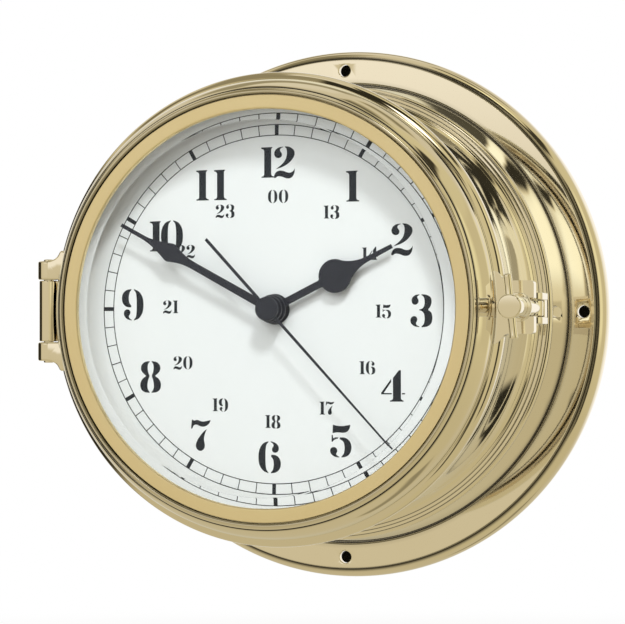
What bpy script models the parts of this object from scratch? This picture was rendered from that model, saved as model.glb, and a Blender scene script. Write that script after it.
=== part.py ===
"""Porthole clock in turned brass: a flanged case, a hinged bezel with bevelled glass, a swing bolt
latch with a thumb nut, and a battery movement that drives three hands over a plain dial.

Frame: metres, +Z up, the dial faces -Y, and the wall plane is Y = 0. The origin is the centre of
the flange's back. A "depth" is a distance in front of the wall, so depth d lies at Y = -d.
"""
import math

import bmesh
import bpy
from mathutils import Matrix

MM = 0.001

# General clearances
GAP = 0.3 * MM
RING_STEPS = 64
ROUND_STEPS = 24
SMALL_STEPS = 16
# A drilled hole is turned by this much, so that none of its corners lies on a seam of a ring
OFF_SEAM = 5.0

# Case and flange
FLANGE_R = 108.0 * MM
FLANGE_FACE_D = 13.3 * MM
FLANGE_RIM_W = 4.2 * MM
FLANGE_FACE_R = FLANGE_R - FLANGE_RIM_W
FLANGE_WALL = 3.1 * MM
RIM_WALL = 4.0 * MM
HOLE_INSET = 8.6 * MM
HOLE_CIRCLE_R = FLANGE_R - HOLE_INSET
HOLE_R = 2.5 * MM
HOLE_COUNT = 4
CASE_RIM_R = 85.9 * MM
CASE_FRONT_D = 100.0 * MM
BASE_FOOT_R = CASE_RIM_R + 7.4 * MM
BASE_BEAD_R = CASE_RIM_R + 5.4 * MM
BASE_BEAD_D = 32.4 * MM
WAIST_DIP = 3.2 * MM
WAIST_R = CASE_RIM_R - WAIST_DIP
WAIST_D = 59.0 * MM
CASE_WALL = 3.3 * MM
BORE_R = WAIST_R - CASE_WALL

# Dial, which drops into a pocket in the case's front
DIAL_R = CASE_RIM_R - 3.9 * MM
DIAL_T = 1.0 * MM
DIAL_SINK = 1.5 * MM
DIAL_FRONT_D = CASE_FRONT_D - DIAL_SINK
DIAL_HOLE_R = 4.4 * MM
DIAL_LEDGE_W = 5.2 * MM
DIAL_LEDGE_R = DIAL_R - DIAL_LEDGE_W
DIAL_LEDGE_T = 3.6 * MM
DIAL_SCREW_CIRCLE_R = DIAL_R - DIAL_LEDGE_W / 2
DIAL_SCREW_HEAD_R = 1.7 * MM
DIAL_SCREW_HEAD_T = 0.8 * MM
DIAL_SCREW_R = 0.8 * MM
DIAL_SCREW_L = 2.4 * MM
DIAL_SCREW_ANGLES = (90, 0, 270)
DIAL_SCREW_NAMES = ("top", "right", "bottom")

# Bezel
REBATE_GAP = 0.5 * MM
BEZEL_RIM_W = 4.1 * MM
BEZEL_R = CASE_RIM_R + BEZEL_RIM_W
BEZEL_BEAD_D = CASE_FRONT_D + 0.2 * MM
BEZEL_SKIRT = 2.7 * MM
BEZEL_REAR_D = CASE_FRONT_D - BEZEL_SKIRT
BEZEL_H = 17.0 * MM
BEZEL_FRONT_D = CASE_FRONT_D + BEZEL_H
GROOVE_R = BEZEL_R - 3.5 * MM
GROOVE_D = CASE_FRONT_D + 4.4 * MM
STEP_R = GROOVE_R - 4.0 * MM
STEP_D = BEZEL_FRONT_D - 2.0 * MM
BEZEL_FRONT_R = STEP_R - 2.3 * MM
BEZEL_BORE_R = STEP_R - 0.2 * MM
BEZEL_SHOULDER_D = BEZEL_FRONT_D - 2.4 * MM
SEAL_T = 1.4 * MM
SEAL_W = 3.0 * MM

# Lip ring, glass and what holds it
LIP_W = 5.2 * MM
LIP_OUTER_R = BEZEL_FRONT_R - GAP
LIP_BORE_R = LIP_OUTER_R - LIP_W
LIP_FRONT_D = BEZEL_FRONT_D - 0.6 * MM
GLASS_R = BEZEL_BORE_R - 1.9 * MM
GLASS_FRONT_D = BEZEL_FRONT_D - 1.1 * MM
GLASS_T = 5.0 * MM
BEVEL_W = 5.5 * MM
BEVEL_START_R = LIP_BORE_R - 4.0 * MM
BEVEL_ANGLE = 29.0
GASKET_T = 0.6 * MM
RETAINER_W = 3.8 * MM
RETAINER_BORE_R = BEZEL_BORE_R - GAP - RETAINER_W
RETAINER_T = 2.3 * MM

# Hinge
HINGE_X = -(BEZEL_R + 3.7 * MM)
HINGE_D = CASE_FRONT_D - 0.6 * MM
BARREL_R = 3.6 * MM
BARREL_HALF = 11.8 * MM
LUG_R = 4.1 * MM
LUG_H = 7.3 * MM
HINGE_PIN_R = 1.9 * MM
HINGE_PIN_PROUD = 0.7 * MM
HINGE_NOTCH_R = BARREL_R + 1.2 * MM
ARM_W = 5.4 * MM
ARM_REACH = 32.0 * MM
ARM_REAR_D = CASE_FRONT_D - ARM_REACH
ARM_SWEEP = 22.0 * MM

# Latch: a forked lug on the bezel, and a bolt that swings on a bracket
BOLT_X = BEZEL_R + 5.3 * MM
BOLT_REACH = 23.8 * MM
LATCH_LUG_FRONT_D = GROOVE_D - 0.6 * MM
LATCH_PIN_D = LATCH_LUG_FRONT_D - BOLT_REACH
LATCH_LUG_T = 4.5 * MM
LATCH_LUG_END = BOLT_X + 5.7 * MM
LATCH_LUG_HALF = 9.8 * MM
LATCH_LUG_ROOT_HALF = LATCH_LUG_HALF + 3.4 * MM
BOLT_R = 3.0 * MM
SLOT_HALF = BOLT_R + 0.4 * MM
EYE_R = 3.6 * MM
EYE_HALF = 2.9 * MM
CHEEK_T = 2.7 * MM
BRACKET_REAR_D = LATCH_PIN_D - 10.0 * MM
BRACKET_FRONT_D = LATCH_PIN_D + 6.0 * MM
LATCH_PIN_R = 1.5 * MM
WASHER_R = BOLT_R + 2.4 * MM
WASHER_T = 1.4 * MM
NUT_LENGTH = 11.8 * MM
NUT_FRONT_D = LATCH_LUG_FRONT_D + GAP + WASHER_T + GAP + NUT_LENGTH
NUT_COLLAR_R = BOLT_R + 1.0 * MM
NUT_HEAD_R = BOLT_R + 1.5 * MM
NUT_HEAD_T = 4.4 * MM
NUT_CROWN_T = 1.0 * MM
BAR_R = 1.6 * MM
BAR_REACH = 12.0 * MM
BAR_TILT = 6.0
BRACKET_SCREW_R = 1.2 * MM
BRACKET_SCREW_HEAD_R = 2.4 * MM
BRACKET_SCREW_HEAD_T = 1.4 * MM
BRACKET_SCREW_SPACING = 9.0 * MM
BRACKET_SCREW_BITE = 4.0 * MM

# Movement housing
MOVE_HALF_W = 28.0 * MM
MOVE_TOP_Z = 20.0 * MM
MOVE_BOTTOM_Z = -36.0 * MM
MOVE_T = 15.6 * MM
MOVE_WALL = 1.5 * MM
BAY_TOP_Z = -17.6 * MM
HUB_R = 4.0 * MM
HUB_BORE_R = 3.1 * MM
HUB_LENGTH = 5.4 * MM
CUSHION_R = 9.0 * MM
CUSHION_T = 0.8 * MM
HUB_WASHER_R = 5.8 * MM
HUB_WASHER_T = 0.5 * MM
HUB_NUT_R = 5.4 * MM
HUB_NUT_T = 1.6 * MM
BATTERY_R = 7.1 * MM
BATTERY_L = 50.5 * MM
BATTERY_NUB_R = 2.7 * MM
BATTERY_NUB_L = 1.3 * MM
BATTERY_Z = -27.0 * MM
CONTACT_T = 0.5 * MM
CONTACT_HALF = 4.0 * MM

# Wheel train: tooth counts give the ratios, and each pair of shafts has one centre distance
TEETH_ROTOR = 6
TEETH_STEP_WHEEL = 36
TEETH_STEP_PINION = 6
TEETH_SECOND_WHEEL = 30
TEETH_SECOND_PINION = 8
TEETH_THIRD_WHEEL = 60
TEETH_THIRD_PINION = 8
TEETH_CENTRE_WHEEL = 64
TEETH_CENTRE_PINION = 12
TEETH_MOTION_WHEEL = 36
TEETH_MOTION_PINION = 10
TEETH_HOUR_WHEEL = 40
ROTOR_DISTANCE = 7.9 * MM
STEP_DISTANCE = 7.5 * MM
THIRD_DISTANCE = 8.6 * MM
MOTION_DISTANCE = 8.9 * MM
THIRD_ANGLE = 20
STEP_ANGLE = 130
ROTOR_ANGLE = 170
MOTION_ANGLE = 250
WHEEL_T = 0.8 * MM
ARBOR_R = 0.5 * MM
MAGNET_R = 2.6 * MM
MAGNET_T = 3.0 * MM
STATOR_T = 0.8 * MM
STATOR_CLEARANCE = 0.5 * MM
COIL_R = 3.0 * MM
COIL_BORE_R = 1.4 * MM
COIL_L = 16.0 * MM
COIL_Z = 15.0 * MM
CORE_R = 1.1 * MM
KNOB_R = 6.0 * MM
KNOB_T = 4.4 * MM

# Hands
HOUR_ANGLE = 63.9
MINUTE_ANGLE = 298.5
SECOND_ANGLE = 137.1
HOUR_L = 52.5 * MM
MINUTE_L = 68.5 * MM
SECOND_L = 70.0 * MM
SECOND_TAIL = 36.2 * MM
HOUR_BULB_R = 6.4 * MM
HOUR_BULB_AT = 27.7 * MM
SPADE_HALF = 3.9 * MM
SPADE_AT = 45.3 * MM
HAND_T = 0.7 * MM
HAND_LIFT = 0.8 * MM
HOUR_D = DIAL_FRONT_D + GAP + HUB_WASHER_T + GAP + HUB_NUT_T + HAND_LIFT
MINUTE_D = HOUR_D + 3.0 * MM
SECOND_D = MINUTE_D + 2.6 * MM
HOUR_HUB_R = 5.5 * MM
MINUTE_HUB_R = 5.0 * MM
CAP_R = 4.6 * MM
CAP_T = 1.2 * MM
HOUR_TUBE_R = 2.7 * MM
MINUTE_TUBE_R = 1.75 * MM
SECOND_ARBOR_R = 0.6 * MM

# Turns a shape drawn in (x, z) with depth along its third axis into the clock's frame
FACING = Matrix.Rotation(math.radians(90), 4, "X")
UPRIGHT = Matrix.Identity(4)


def clear_scene():
    for old in list(bpy.data.objects):
        bpy.data.objects.remove(old, do_unlink=True)


def make_material(name, colour, roughness, metallic, alpha=1.0):
    made = bpy.data.materials.new(name)
    made.use_nodes = True
    shader = made.node_tree.nodes["Principled BSDF"]
    shader.inputs["Base Color"].default_value = (*colour, 1.0)
    shader.inputs["Roughness"].default_value = roughness
    shader.inputs["Metallic"].default_value = metallic
    shader.inputs["Alpha"].default_value = alpha
    return made


def add_object(name, mesh, material, placement):
    """A named object from a mesh, shaded smooth except at its sharp edges."""
    made = bpy.data.objects.new(name, mesh)
    made.matrix_world = placement
    if material is not None:
        mesh.materials.append(material)
    mesh.shade_smooth()
    mesh.set_sharp_from_angle(angle=math.radians(30))
    bpy.context.scene.collection.objects.link(made)
    return made


def turned(name, section, material=None, placement=FACING, steps=RING_STEPS):
    """A turned piece: a closed section of (radius, height) points spun about the local Z axis."""
    shape = bmesh.new()
    points = [shape.verts.new((radius, 0.0, height)) for radius, height in section]
    edges = [shape.edges.new((a, b)) for a, b in zip(points, points[1:] + points[:1])]
    bmesh.ops.spin(shape, geom=points + edges, cent=(0, 0, 0), axis=(0, 0, 1),
                   angle=math.tau, steps=steps, use_merge=True)
    bmesh.ops.remove_doubles(shape, verts=shape.verts, dist=MM / 1000)
    bmesh.ops.dissolve_degenerate(shape, edges=shape.edges, dist=MM / 1000)
    bmesh.ops.recalc_face_normals(shape, faces=shape.faces)
    mesh = bpy.data.meshes.new(name)
    shape.to_mesh(mesh)
    shape.free()
    return add_object(name, mesh, material, placement)


def disc(name, radius, low, high, material=None, placement=FACING, steps=ROUND_STEPS):
    """A solid cylinder between two heights."""
    return turned(name, [(0, low), (radius, low), (radius, high), (0, high)], material, placement, steps)


def ring(name, inner, outer, low, high, material=None, placement=FACING, steps=RING_STEPS):
    """A plain ring of rectangular section."""
    section = [(inner, low), (outer, low), (outer, high), (inner, high)]
    return turned(name, section, material, placement, steps)


def plate(name, outline, low, high, material=None, placement=FACING):
    """A flat piece: an outline of (x, y) points extruded along the local Z axis."""
    shape = bmesh.new()
    face = shape.faces.new([shape.verts.new((x, y, low)) for x, y in outline])
    raised = bmesh.ops.extrude_face_region(shape, geom=[face])
    moved = [part for part in raised["geom"] if isinstance(part, bmesh.types.BMVert)]
    bmesh.ops.translate(shape, verts=moved, vec=(0, 0, high - low))
    bmesh.ops.recalc_face_normals(shape, faces=shape.faces)
    mesh = bpy.data.meshes.new(name)
    shape.to_mesh(mesh)
    shape.free()
    return add_object(name, mesh, material, placement)


def block(name, low, high, material=None, placement=FACING):
    """A box between two corners, in the placement's own axes."""
    outline = [(low[0], low[1]), (high[0], low[1]), (high[0], high[1]), (low[0], high[1])]
    return plate(name, outline, low[2], high[2], material, placement)


def combine(target, tool, operation):
    """Joins, cuts or trims the target with a helper that stays out of the model."""
    step = target.modifiers.new(f"{operation.lower()}_{tool.name}", "BOOLEAN")
    step.operation = operation
    step.solver = "EXACT"
    step.object = tool
    tool.hide_render = True
    tool.display_type = "WIRE"


def cut(target, tool):
    combine(target, tool, "DIFFERENCE")


def drill(target, name, radius, low, high, placement):
    """A small round hole along the placement's local Z axis."""
    turn = Matrix.Rotation(math.radians(OFF_SEAM), 4, "Z")
    cut(target, disc(name, radius, low, high, None, placement @ turn, SMALL_STEPS))


def fuse(target, tool):
    combine(target, tool, "UNION")


def trim(target, tool):
    combine(target, tool, "INTERSECT")


def hang_on(name, location, pieces):
    """An empty on a joint's axis that carries the pieces which turn or slide with it."""
    pivot = bpy.data.objects.new(name, None)
    pivot.location = location
    bpy.context.scene.collection.objects.link(pivot)
    for piece in pieces:
        piece.parent = pivot
        piece.matrix_parent_inverse = Matrix.Translation(location).inverted()
    return pivot


def arc(cx, cy, radius, start, end, count):
    """Points along an arc, angles in degrees."""
    turns = [math.radians(start + (end - start) * i / count) for i in range(count + 1)]
    return [(cx + radius * math.cos(turn), cy + radius * math.sin(turn)) for turn in turns]


def polar(distance, degrees):
    turn = math.radians(degrees)
    return distance * math.cos(turn), distance * math.sin(turn)


def shifted(x, z, depth=0.0):
    """A facing placement whose axis stands at x and z."""
    return Matrix.Translation((x, -depth, z)) @ FACING


def upright(x, depth):
    """An upright placement whose axis stands at x and a depth."""
    return Matrix.Translation((x, -depth, 0.0))


def sideways(depth, x=0.0, z=0.0):
    """A placement whose axis runs along +X at a depth."""
    return Matrix.Translation((x, -depth, z)) @ Matrix.Rotation(math.radians(90), 4, "Y")


def pitch_radii(distance, teeth_a, teeth_b):
    """Radii of two meshing wheels, each drawn as a plain disc with a gap between them."""
    room = distance - GAP
    return room * teeth_a / (teeth_a + teeth_b), room * teeth_b / (teeth_a + teeth_b)


def case_outside(grow=0.0):
    """The case's outer section from the flange face to the front rim, grown outwards."""
    foot = (BASE_FOOT_R, FLANGE_FACE_D)
    bead_r, bead_d = BASE_BEAD_R, BASE_BEAD_D
    step = (bead_r - CASE_RIM_R) / 4
    rise = 1.25 * MM
    points = [(foot[0] + 1.0 * MM, foot[1]), (foot[0] + 0.2 * MM, foot[1] + 0.4 * MM),
              (foot[0] - 0.1 * MM, foot[1] + 1.3 * MM)]
    points.append((foot[0] + (bead_r - foot[0]) * 0.75, foot[1] + (bead_d - foot[1]) * 0.5))
    points += [(bead_r - 0.5 * MM, bead_d - 2.2 * MM), (bead_r, bead_d - 0.9 * MM), (bead_r, bead_d + 0.5 * MM),
               (bead_r - 0.8 * MM, bead_d + 1.5 * MM)]
    for count in range(1, 4):
        radius = bead_r - step * (count + 0.5)
        height = bead_d + 1.5 * MM + rise * (count - 1)
        points += [(radius + 0.3 * MM, height + 0.2 * MM), (radius, height + rise)]
    foot_of_waist = points[-1][1]
    waist_top = CASE_FRONT_D - 12.0 * MM
    for share in (0.12, 0.38, 0.62, 0.88):
        depth = foot_of_waist + (waist_top - foot_of_waist) * share
        lift = CASE_RIM_R - WAIST_R if depth > WAIST_D else (CASE_RIM_R - WAIST_R) * 0.6
        reach = waist_top - WAIST_D if depth > WAIST_D else WAIST_D - foot_of_waist
        points.append((WAIST_R + lift * ((depth - WAIST_D) / reach) ** 2, depth))
    points += [(CASE_RIM_R, waist_top), (CASE_RIM_R, CASE_FRONT_D)]
    return [(radius + grow, depth) for radius, depth in points]


def make_case(brass):
    """Flange, stepped base, coved waist and front rim in one casting, with the hinge barrel."""
    pocket_d = DIAL_FRONT_D - DIAL_T - GAP
    rim_top = FLANGE_FACE_D - 1.3 * MM
    rim = [(FLANGE_R - RIM_WALL, 0.0), (FLANGE_R - 1.0 * MM, 0.0), (FLANGE_R - 0.5 * MM, 1.3 * MM),
           (FLANGE_R, rim_top * 0.38), (FLANGE_R - 0.4 * MM, rim_top * 0.62),
           (FLANGE_R - 1.6 * MM, rim_top * 0.83), (FLANGE_FACE_R + 0.5 * MM, rim_top),
           (FLANGE_FACE_R, FLANGE_FACE_D)]
    base_inner_r = BASE_BEAD_R - CASE_WALL
    ledge_d = pocket_d - DIAL_LEDGE_T
    inside = [(DIAL_R + GAP, CASE_FRONT_D), (DIAL_R + GAP, pocket_d), (DIAL_LEDGE_R, pocket_d),
              (DIAL_LEDGE_R, ledge_d), (BORE_R, ledge_d - (BORE_R - DIAL_LEDGE_R)),
              (BORE_R, BASE_BEAD_D + 4.0 * MM), (base_inner_r, BASE_BEAD_D - 1.6 * MM),
              (BASE_FOOT_R - CASE_WALL, FLANGE_FACE_D - FLANGE_WALL),
              (FLANGE_R - RIM_WALL - 1.0 * MM, FLANGE_FACE_D - FLANGE_WALL)]
    case = turned("case", rim + case_outside() + inside, brass)

    hinge = upright(HINGE_X, HINGE_D)
    fuse(case, disc("barrel_blank", BARREL_R, -BARREL_HALF, BARREL_HALF, None, hinge))
    waist_in = -(CASE_RIM_R - 1.2 * MM)
    arm_out = HINGE_X - ARM_W / 2
    arm_in = HINGE_X + ARM_W / 2
    corbel = [(waist_in + (arm_out - waist_in) * (1 - across), -ARM_REAR_D - ARM_SWEEP * along)
              for across, along in arc(0, 0, 1, 0, 90, 6)]
    arm = [(arm_out, -HINGE_D), (arm_in, -HINGE_D), (arm_in, -(BEZEL_REAR_D - 3.0 * MM)),
           (waist_in, -(BEZEL_REAR_D - 5.0 * MM))] + corbel
    fuse(case, plate("arm_blank", arm, -BARREL_HALF + MM / 2, BARREL_HALF - MM / 2, None, UPRIGHT))
    drill(case, "barrel_bore", HINGE_PIN_R + GAP, -2 * BARREL_HALF, 2 * BARREL_HALF, hinge)

    for count in range(HOLE_COUNT):
        x, z = polar(HOLE_CIRCLE_R, 360 * count / HOLE_COUNT)
        drill(case, f"flange_hole_{count}", HOLE_R, -MM, 2 * FLANGE_FACE_D, shifted(x, z))
    for number, depth in enumerate(bracket_screw_depths()):
        drill(case, f"screw_way_{number}", BRACKET_SCREW_R + GAP, BORE_R - MM, FLANGE_R, sideways(depth))
    for number, (x, z) in enumerate(dial_screw_places()):
        drill(case, f"dial_screw_way_{number}", DIAL_SCREW_R + GAP, pocket_d - DIAL_SCREW_L, pocket_d + MM,
              shifted(x, z))
    return case


def dial_screw_places():
    return [polar(DIAL_SCREW_CIRCLE_R, angle) for angle in DIAL_SCREW_ANGLES]


def bracket_screw_depths():
    middle = (BRACKET_REAR_D + BRACKET_FRONT_D) / 2
    return middle - BRACKET_SCREW_SPACING / 2, middle + BRACKET_SCREW_SPACING / 2


def make_hinge_pin(brass):
    half = BARREL_HALF + GAP + LUG_H + HINGE_PIN_PROUD
    edge = 0.4 * MM
    section = [(0, -half), (HINGE_PIN_R - edge, -half), (HINGE_PIN_R, -half + edge),
               (HINGE_PIN_R, half - edge), (HINGE_PIN_R - edge, half), (0, half)]
    return turned("hinge_pin", section, brass, upright(HINGE_X, HINGE_D), SMALL_STEPS)


def hinge_lug(side):
    """One hinge lug: a knuckle round the pin and a flared web to the bezel's rim."""
    low = BARREL_HALF + GAP
    high = low + LUG_H
    root_r = BEZEL_R - 2.4 * MM
    root_high = high + 3.2 * MM
    web = [(HINGE_X, low), (HINGE_X, high), (HINGE_X + 2.2 * MM, high + 0.1 * MM),
           (HINGE_X + 4.4 * MM, high + 1.0 * MM), (-math.sqrt(BEZEL_R ** 2 - root_high ** 2), root_high),
           (-math.sqrt(root_r ** 2 - root_high ** 2), root_high), (-math.sqrt(root_r ** 2 - low ** 2), low)]
    outline = [(x, side * z) for x, z in web]
    bounds = sorted((side * low, side * high))
    knuckle = disc(f"lug_knuckle_{side}", LUG_R, bounds[0], bounds[1], None, upright(HINGE_X, HINGE_D))
    piece = plate(f"lug_web_{side}", outline, HINGE_D - LUG_R, HINGE_D + LUG_R)
    return knuckle, piece


def latch_lug():
    """The forked lug: flared at its root, slotted for the bolt, its face crowned round the latch pin."""
    root_r = BEZEL_R - 2.4 * MM
    root = LATCH_LUG_ROOT_HALF
    half = LATCH_LUG_HALF
    end = LATCH_LUG_END
    corner = 1.5 * MM
    inner_x = math.sqrt(root_r ** 2 - root ** 2)
    upper = [(inner_x, root), (inner_x + 1.6 * MM, root - 1.0 * MM), (inner_x + 3.0 * MM, half + 0.8 * MM),
             (inner_x + 4.8 * MM, half), (end - corner, half), (end, half - corner), (end, SLOT_HALF)]
    slot = [(x, z) for x, z in arc(BOLT_X, 0, SLOT_HALF, 90, 270, 8)]
    lower = [(x, -z) for x, z in reversed(upper)]
    middle = [(root_r, 0.0)]
    plan = plate("latch_lug", upper + slot + lower + middle, LATCH_LUG_FRONT_D - LATCH_LUG_T,
                 LATCH_LUG_FRONT_D + MM)
    crown_r = LATCH_LUG_FRONT_D - LATCH_PIN_D
    crown = [(-x, y) for x, y in arc(-BOLT_X, -LATCH_PIN_D, crown_r, 270, 252, 6)]
    side = [(root_r - 4 * MM, -(LATCH_LUG_FRONT_D - LATCH_LUG_T)), (root_r - 4 * MM, -LATCH_LUG_FRONT_D)]
    side += crown + [(crown[-1][0], -(LATCH_LUG_FRONT_D - LATCH_LUG_T))]
    trim(plan, plate("latch_lug_side", side, -2 * root, 2 * root, None, UPRIGHT))
    return plan


def bezel_section():
    """The bezel ring: front bead, swept face, groove and rim bead, then the bore and its rebate."""
    rebate_r = CASE_RIM_R + REBATE_GAP
    seat_d = CASE_FRONT_D + GAP + SEAL_T + GAP
    sweep = []
    for share in (0.15, 0.35, 0.6, 0.85):
        bulge = 0.9 * MM * math.sin(math.pi * share)
        sweep.append((STEP_R + 0.3 * MM + (GROOVE_R - STEP_R) * share + bulge,
                      STEP_D + 0.2 * MM + (GROOVE_D - STEP_D) * share))
    outer = [(BEZEL_FRONT_R, BEZEL_FRONT_D - 0.8 * MM), (BEZEL_FRONT_R + 0.8 * MM, BEZEL_FRONT_D),
             (STEP_R - 0.7 * MM, BEZEL_FRONT_D - 0.4 * MM), (STEP_R, STEP_D)]
    outer += sweep + [(GROOVE_R, GROOVE_D), (GROOVE_R + 0.4 * MM, GROOVE_D - 0.8 * MM)]
    bead = [(BEZEL_R - 1.1 * MM, BEZEL_BEAD_D + 2.2 * MM), (BEZEL_R - 0.2 * MM, BEZEL_BEAD_D + 1.0 * MM),
            (BEZEL_R, BEZEL_BEAD_D - 0.2 * MM), (BEZEL_R - 0.5 * MM, BEZEL_BEAD_D - 1.6 * MM),
            (BEZEL_R - 1.6 * MM, BEZEL_REAR_D)]
    inner = [(rebate_r, BEZEL_REAR_D), (rebate_r, seat_d), (BEZEL_BORE_R, seat_d),
             (BEZEL_BORE_R, BEZEL_SHOULDER_D), (BEZEL_FRONT_R, BEZEL_SHOULDER_D)]
    return outer + bead + inner


def make_bezel(brass):
    bezel = turned("bezel", bezel_section(), brass)
    hinge = upright(HINGE_X, HINGE_D)
    notch_half = BARREL_HALF + GAP
    cut(bezel, disc("hinge_notch", HINGE_NOTCH_R, -notch_half, notch_half, None, hinge))
    for side in (1, -1):
        knuckle, web = hinge_lug(side)
        fuse(bezel, web)
        fuse(bezel, knuckle)
    lug_span = BARREL_HALF + GAP + 2 * LUG_H
    drill(bezel, "lug_bore", HINGE_PIN_R + GAP, -lug_span, lug_span, hinge)
    fuse(bezel, latch_lug())
    return bezel


def glass_land_d():
    """Depth of the flat land outside the glass's bevel."""
    return GLASS_FRONT_D - BEVEL_W * math.tan(math.radians(BEVEL_ANGLE))


def make_glass(glass):
    back = GLASS_FRONT_D - GLASS_T
    section = [(0, back), (GLASS_R, back), (GLASS_R, glass_land_d()),
               (BEVEL_START_R + BEVEL_W, glass_land_d()), (BEVEL_START_R, GLASS_FRONT_D), (0, GLASS_FRONT_D)]
    return turned("bevelled_glass", section, glass)


def make_lip_ring(satin):
    """The satin ring round the glass. Its flange is trapped behind the bezel's inner shoulder."""
    under = glass_land_d() + GAP
    shoulder = BEZEL_SHOULDER_D - GAP
    slope = math.tan(math.radians(BEVEL_ANGLE))
    bore_under = GLASS_FRONT_D - (LIP_BORE_R - BEVEL_START_R) * slope + GAP
    section = [(LIP_BORE_R, bore_under), (LIP_BORE_R, LIP_FRONT_D - 0.7 * MM),
               (LIP_BORE_R + 0.5 * MM, LIP_FRONT_D - 0.35 * MM), (LIP_OUTER_R, LIP_FRONT_D),
               (LIP_OUTER_R, shoulder), (BEZEL_BORE_R - GAP, shoulder), (BEZEL_BORE_R - GAP, under),
               (BEVEL_START_R + BEVEL_W + GAP, under)]
    return turned("lip_ring", section, satin)


def make_glass_seat(rubber, brass):
    back = GLASS_FRONT_D - GLASS_T - GAP
    gasket = ring("glass_gasket", RETAINER_BORE_R, BEZEL_BORE_R - GAP, back - GASKET_T, back, rubber)
    front = back - GASKET_T - GAP
    retainer = ring("glass_retainer", RETAINER_BORE_R, BEZEL_BORE_R - GAP, front - RETAINER_T, front, brass)
    return gasket, retainer


def make_seal(rubber):
    front = CASE_FRONT_D + GAP
    inner = CASE_RIM_R - SEAL_W
    return ring("bezel_seal", inner, CASE_RIM_R, front, front + SEAL_T, rubber)


def make_dial(white):
    back = DIAL_FRONT_D - DIAL_T
    dial = ring("dial", DIAL_HOLE_R, DIAL_R, back, DIAL_FRONT_D, white)
    for number, (x, z) in enumerate(dial_screw_places()):
        drill(dial, f"dial_hole_{number}", DIAL_SCREW_R + GAP, back - MM, DIAL_FRONT_D + MM, shifted(x, z))
    return dial


def make_dial_screws(brass):
    head = DIAL_FRONT_D + GAP
    tip = DIAL_FRONT_D - DIAL_T - DIAL_SCREW_L + GAP
    section = [(0, tip), (DIAL_SCREW_R, tip), (DIAL_SCREW_R, head), (DIAL_SCREW_HEAD_R, head),
               (DIAL_SCREW_HEAD_R, head + DIAL_SCREW_HEAD_T * 0.5),
               (DIAL_SCREW_HEAD_R * 0.6, head + DIAL_SCREW_HEAD_T), (0, head + DIAL_SCREW_HEAD_T)]
    return [turned(f"dial_screw_{label}", section, brass, shifted(x, z), SMALL_STEPS)
            for label, (x, z) in zip(DIAL_SCREW_NAMES, dial_screw_places())]


def make_latch_bracket(brass):
    """A clevis seated on the case's waist, its rear web a stop for the swing bolt."""
    cheek = EYE_HALF + GAP + CHEEK_T
    out = BOLT_X + EYE_R
    web_d = LATCH_PIN_D - EYE_R - GAP
    inner = WAIST_R
    round_end = [(x, -y) for x, y in arc(BOLT_X, LATCH_PIN_D, EYE_R, 0, 90, 6)]
    outline = [(inner, -BRACKET_REAR_D), (out - 1.5 * MM, -BRACKET_REAR_D), (out, -BRACKET_REAR_D - 1.5 * MM)]
    outline += round_end
    outline += [(BOLT_X - 4.0 * MM, -LATCH_PIN_D - EYE_R), (BOLT_X - 6.0 * MM, -BRACKET_FRONT_D),
                (inner, -BRACKET_FRONT_D)]
    bracket = plate("latch_bracket", outline, -cheek, cheek, brass, UPRIGHT)
    room = EYE_HALF + GAP
    cut(bracket, block("bracket_slot", (BOLT_X - EYE_R - GAP, -CASE_FRONT_D, -room),
                       (out + MM, -web_d, room), None, UPRIGHT))
    outside = case_outside(GAP)
    seat = [(0, outside[0][1])] + outside + [(0, CASE_FRONT_D)]
    cut(bracket, turned("bracket_seat", seat, None))
    pin = upright(BOLT_X, LATCH_PIN_D)
    drill(bracket, "bracket_bore", LATCH_PIN_R + GAP, -2 * cheek, 2 * cheek, pin)
    for number, depth in enumerate(bracket_screw_depths()):
        drill(bracket, f"bracket_screw_hole_{number}", BRACKET_SCREW_R + GAP, WAIST_R - 5 * MM,
              CASE_RIM_R + BRACKET_SCREW_BITE + GAP, sideways(depth))
    return bracket


def make_bracket_screws(brass):
    """Two screws from inside the case that hold the latch bracket."""
    under_head = BORE_R - GAP
    tip = CASE_RIM_R + BRACKET_SCREW_BITE
    top = under_head - BRACKET_SCREW_HEAD_T
    section = [(0, top), (BRACKET_SCREW_HEAD_R * 0.7, top),
               (BRACKET_SCREW_HEAD_R, under_head - BRACKET_SCREW_HEAD_T * 0.4), (BRACKET_SCREW_HEAD_R, under_head),
               (BRACKET_SCREW_R, under_head), (BRACKET_SCREW_R, tip), (0, tip)]
    made = []
    for label, depth in zip(("rear", "front"), bracket_screw_depths()):
        made.append(turned(f"bracket_screw_{label}", section, brass, sideways(depth), SMALL_STEPS))
    return made


def make_latch_pin(brass):
    half = EYE_HALF + GAP + CHEEK_T + 0.8 * MM
    return disc("latch_pin", LATCH_PIN_R, -half, half, brass, upright(BOLT_X, LATCH_PIN_D), SMALL_STEPS)


def make_swing_bolt(brass):
    """An eye on the latch pin and a threaded shank that reaches forward into the thumb nut."""
    pin = upright(BOLT_X, LATCH_PIN_D)
    bolt = disc("swing_bolt", EYE_R, -EYE_HALF, EYE_HALF, brass, pin)
    tip = NUT_FRONT_D - NUT_CROWN_T - GAP
    shank = [(0, LATCH_PIN_D + EYE_R / 2), (BOLT_R, LATCH_PIN_D + EYE_R / 2), (BOLT_R, tip - 0.6 * MM),
             (BOLT_R - 0.6 * MM, tip), (0, tip)]
    fuse(bolt, turned("shank_blank", shank, None, shifted(BOLT_X, 0), ROUND_STEPS))
    drill(bolt, "eye_bore", LATCH_PIN_R + GAP, -2 * EYE_HALF, 2 * EYE_HALF, pin)
    return bolt


def washer_span():
    rear = LATCH_LUG_FRONT_D + GAP
    return rear, rear + WASHER_T


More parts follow.
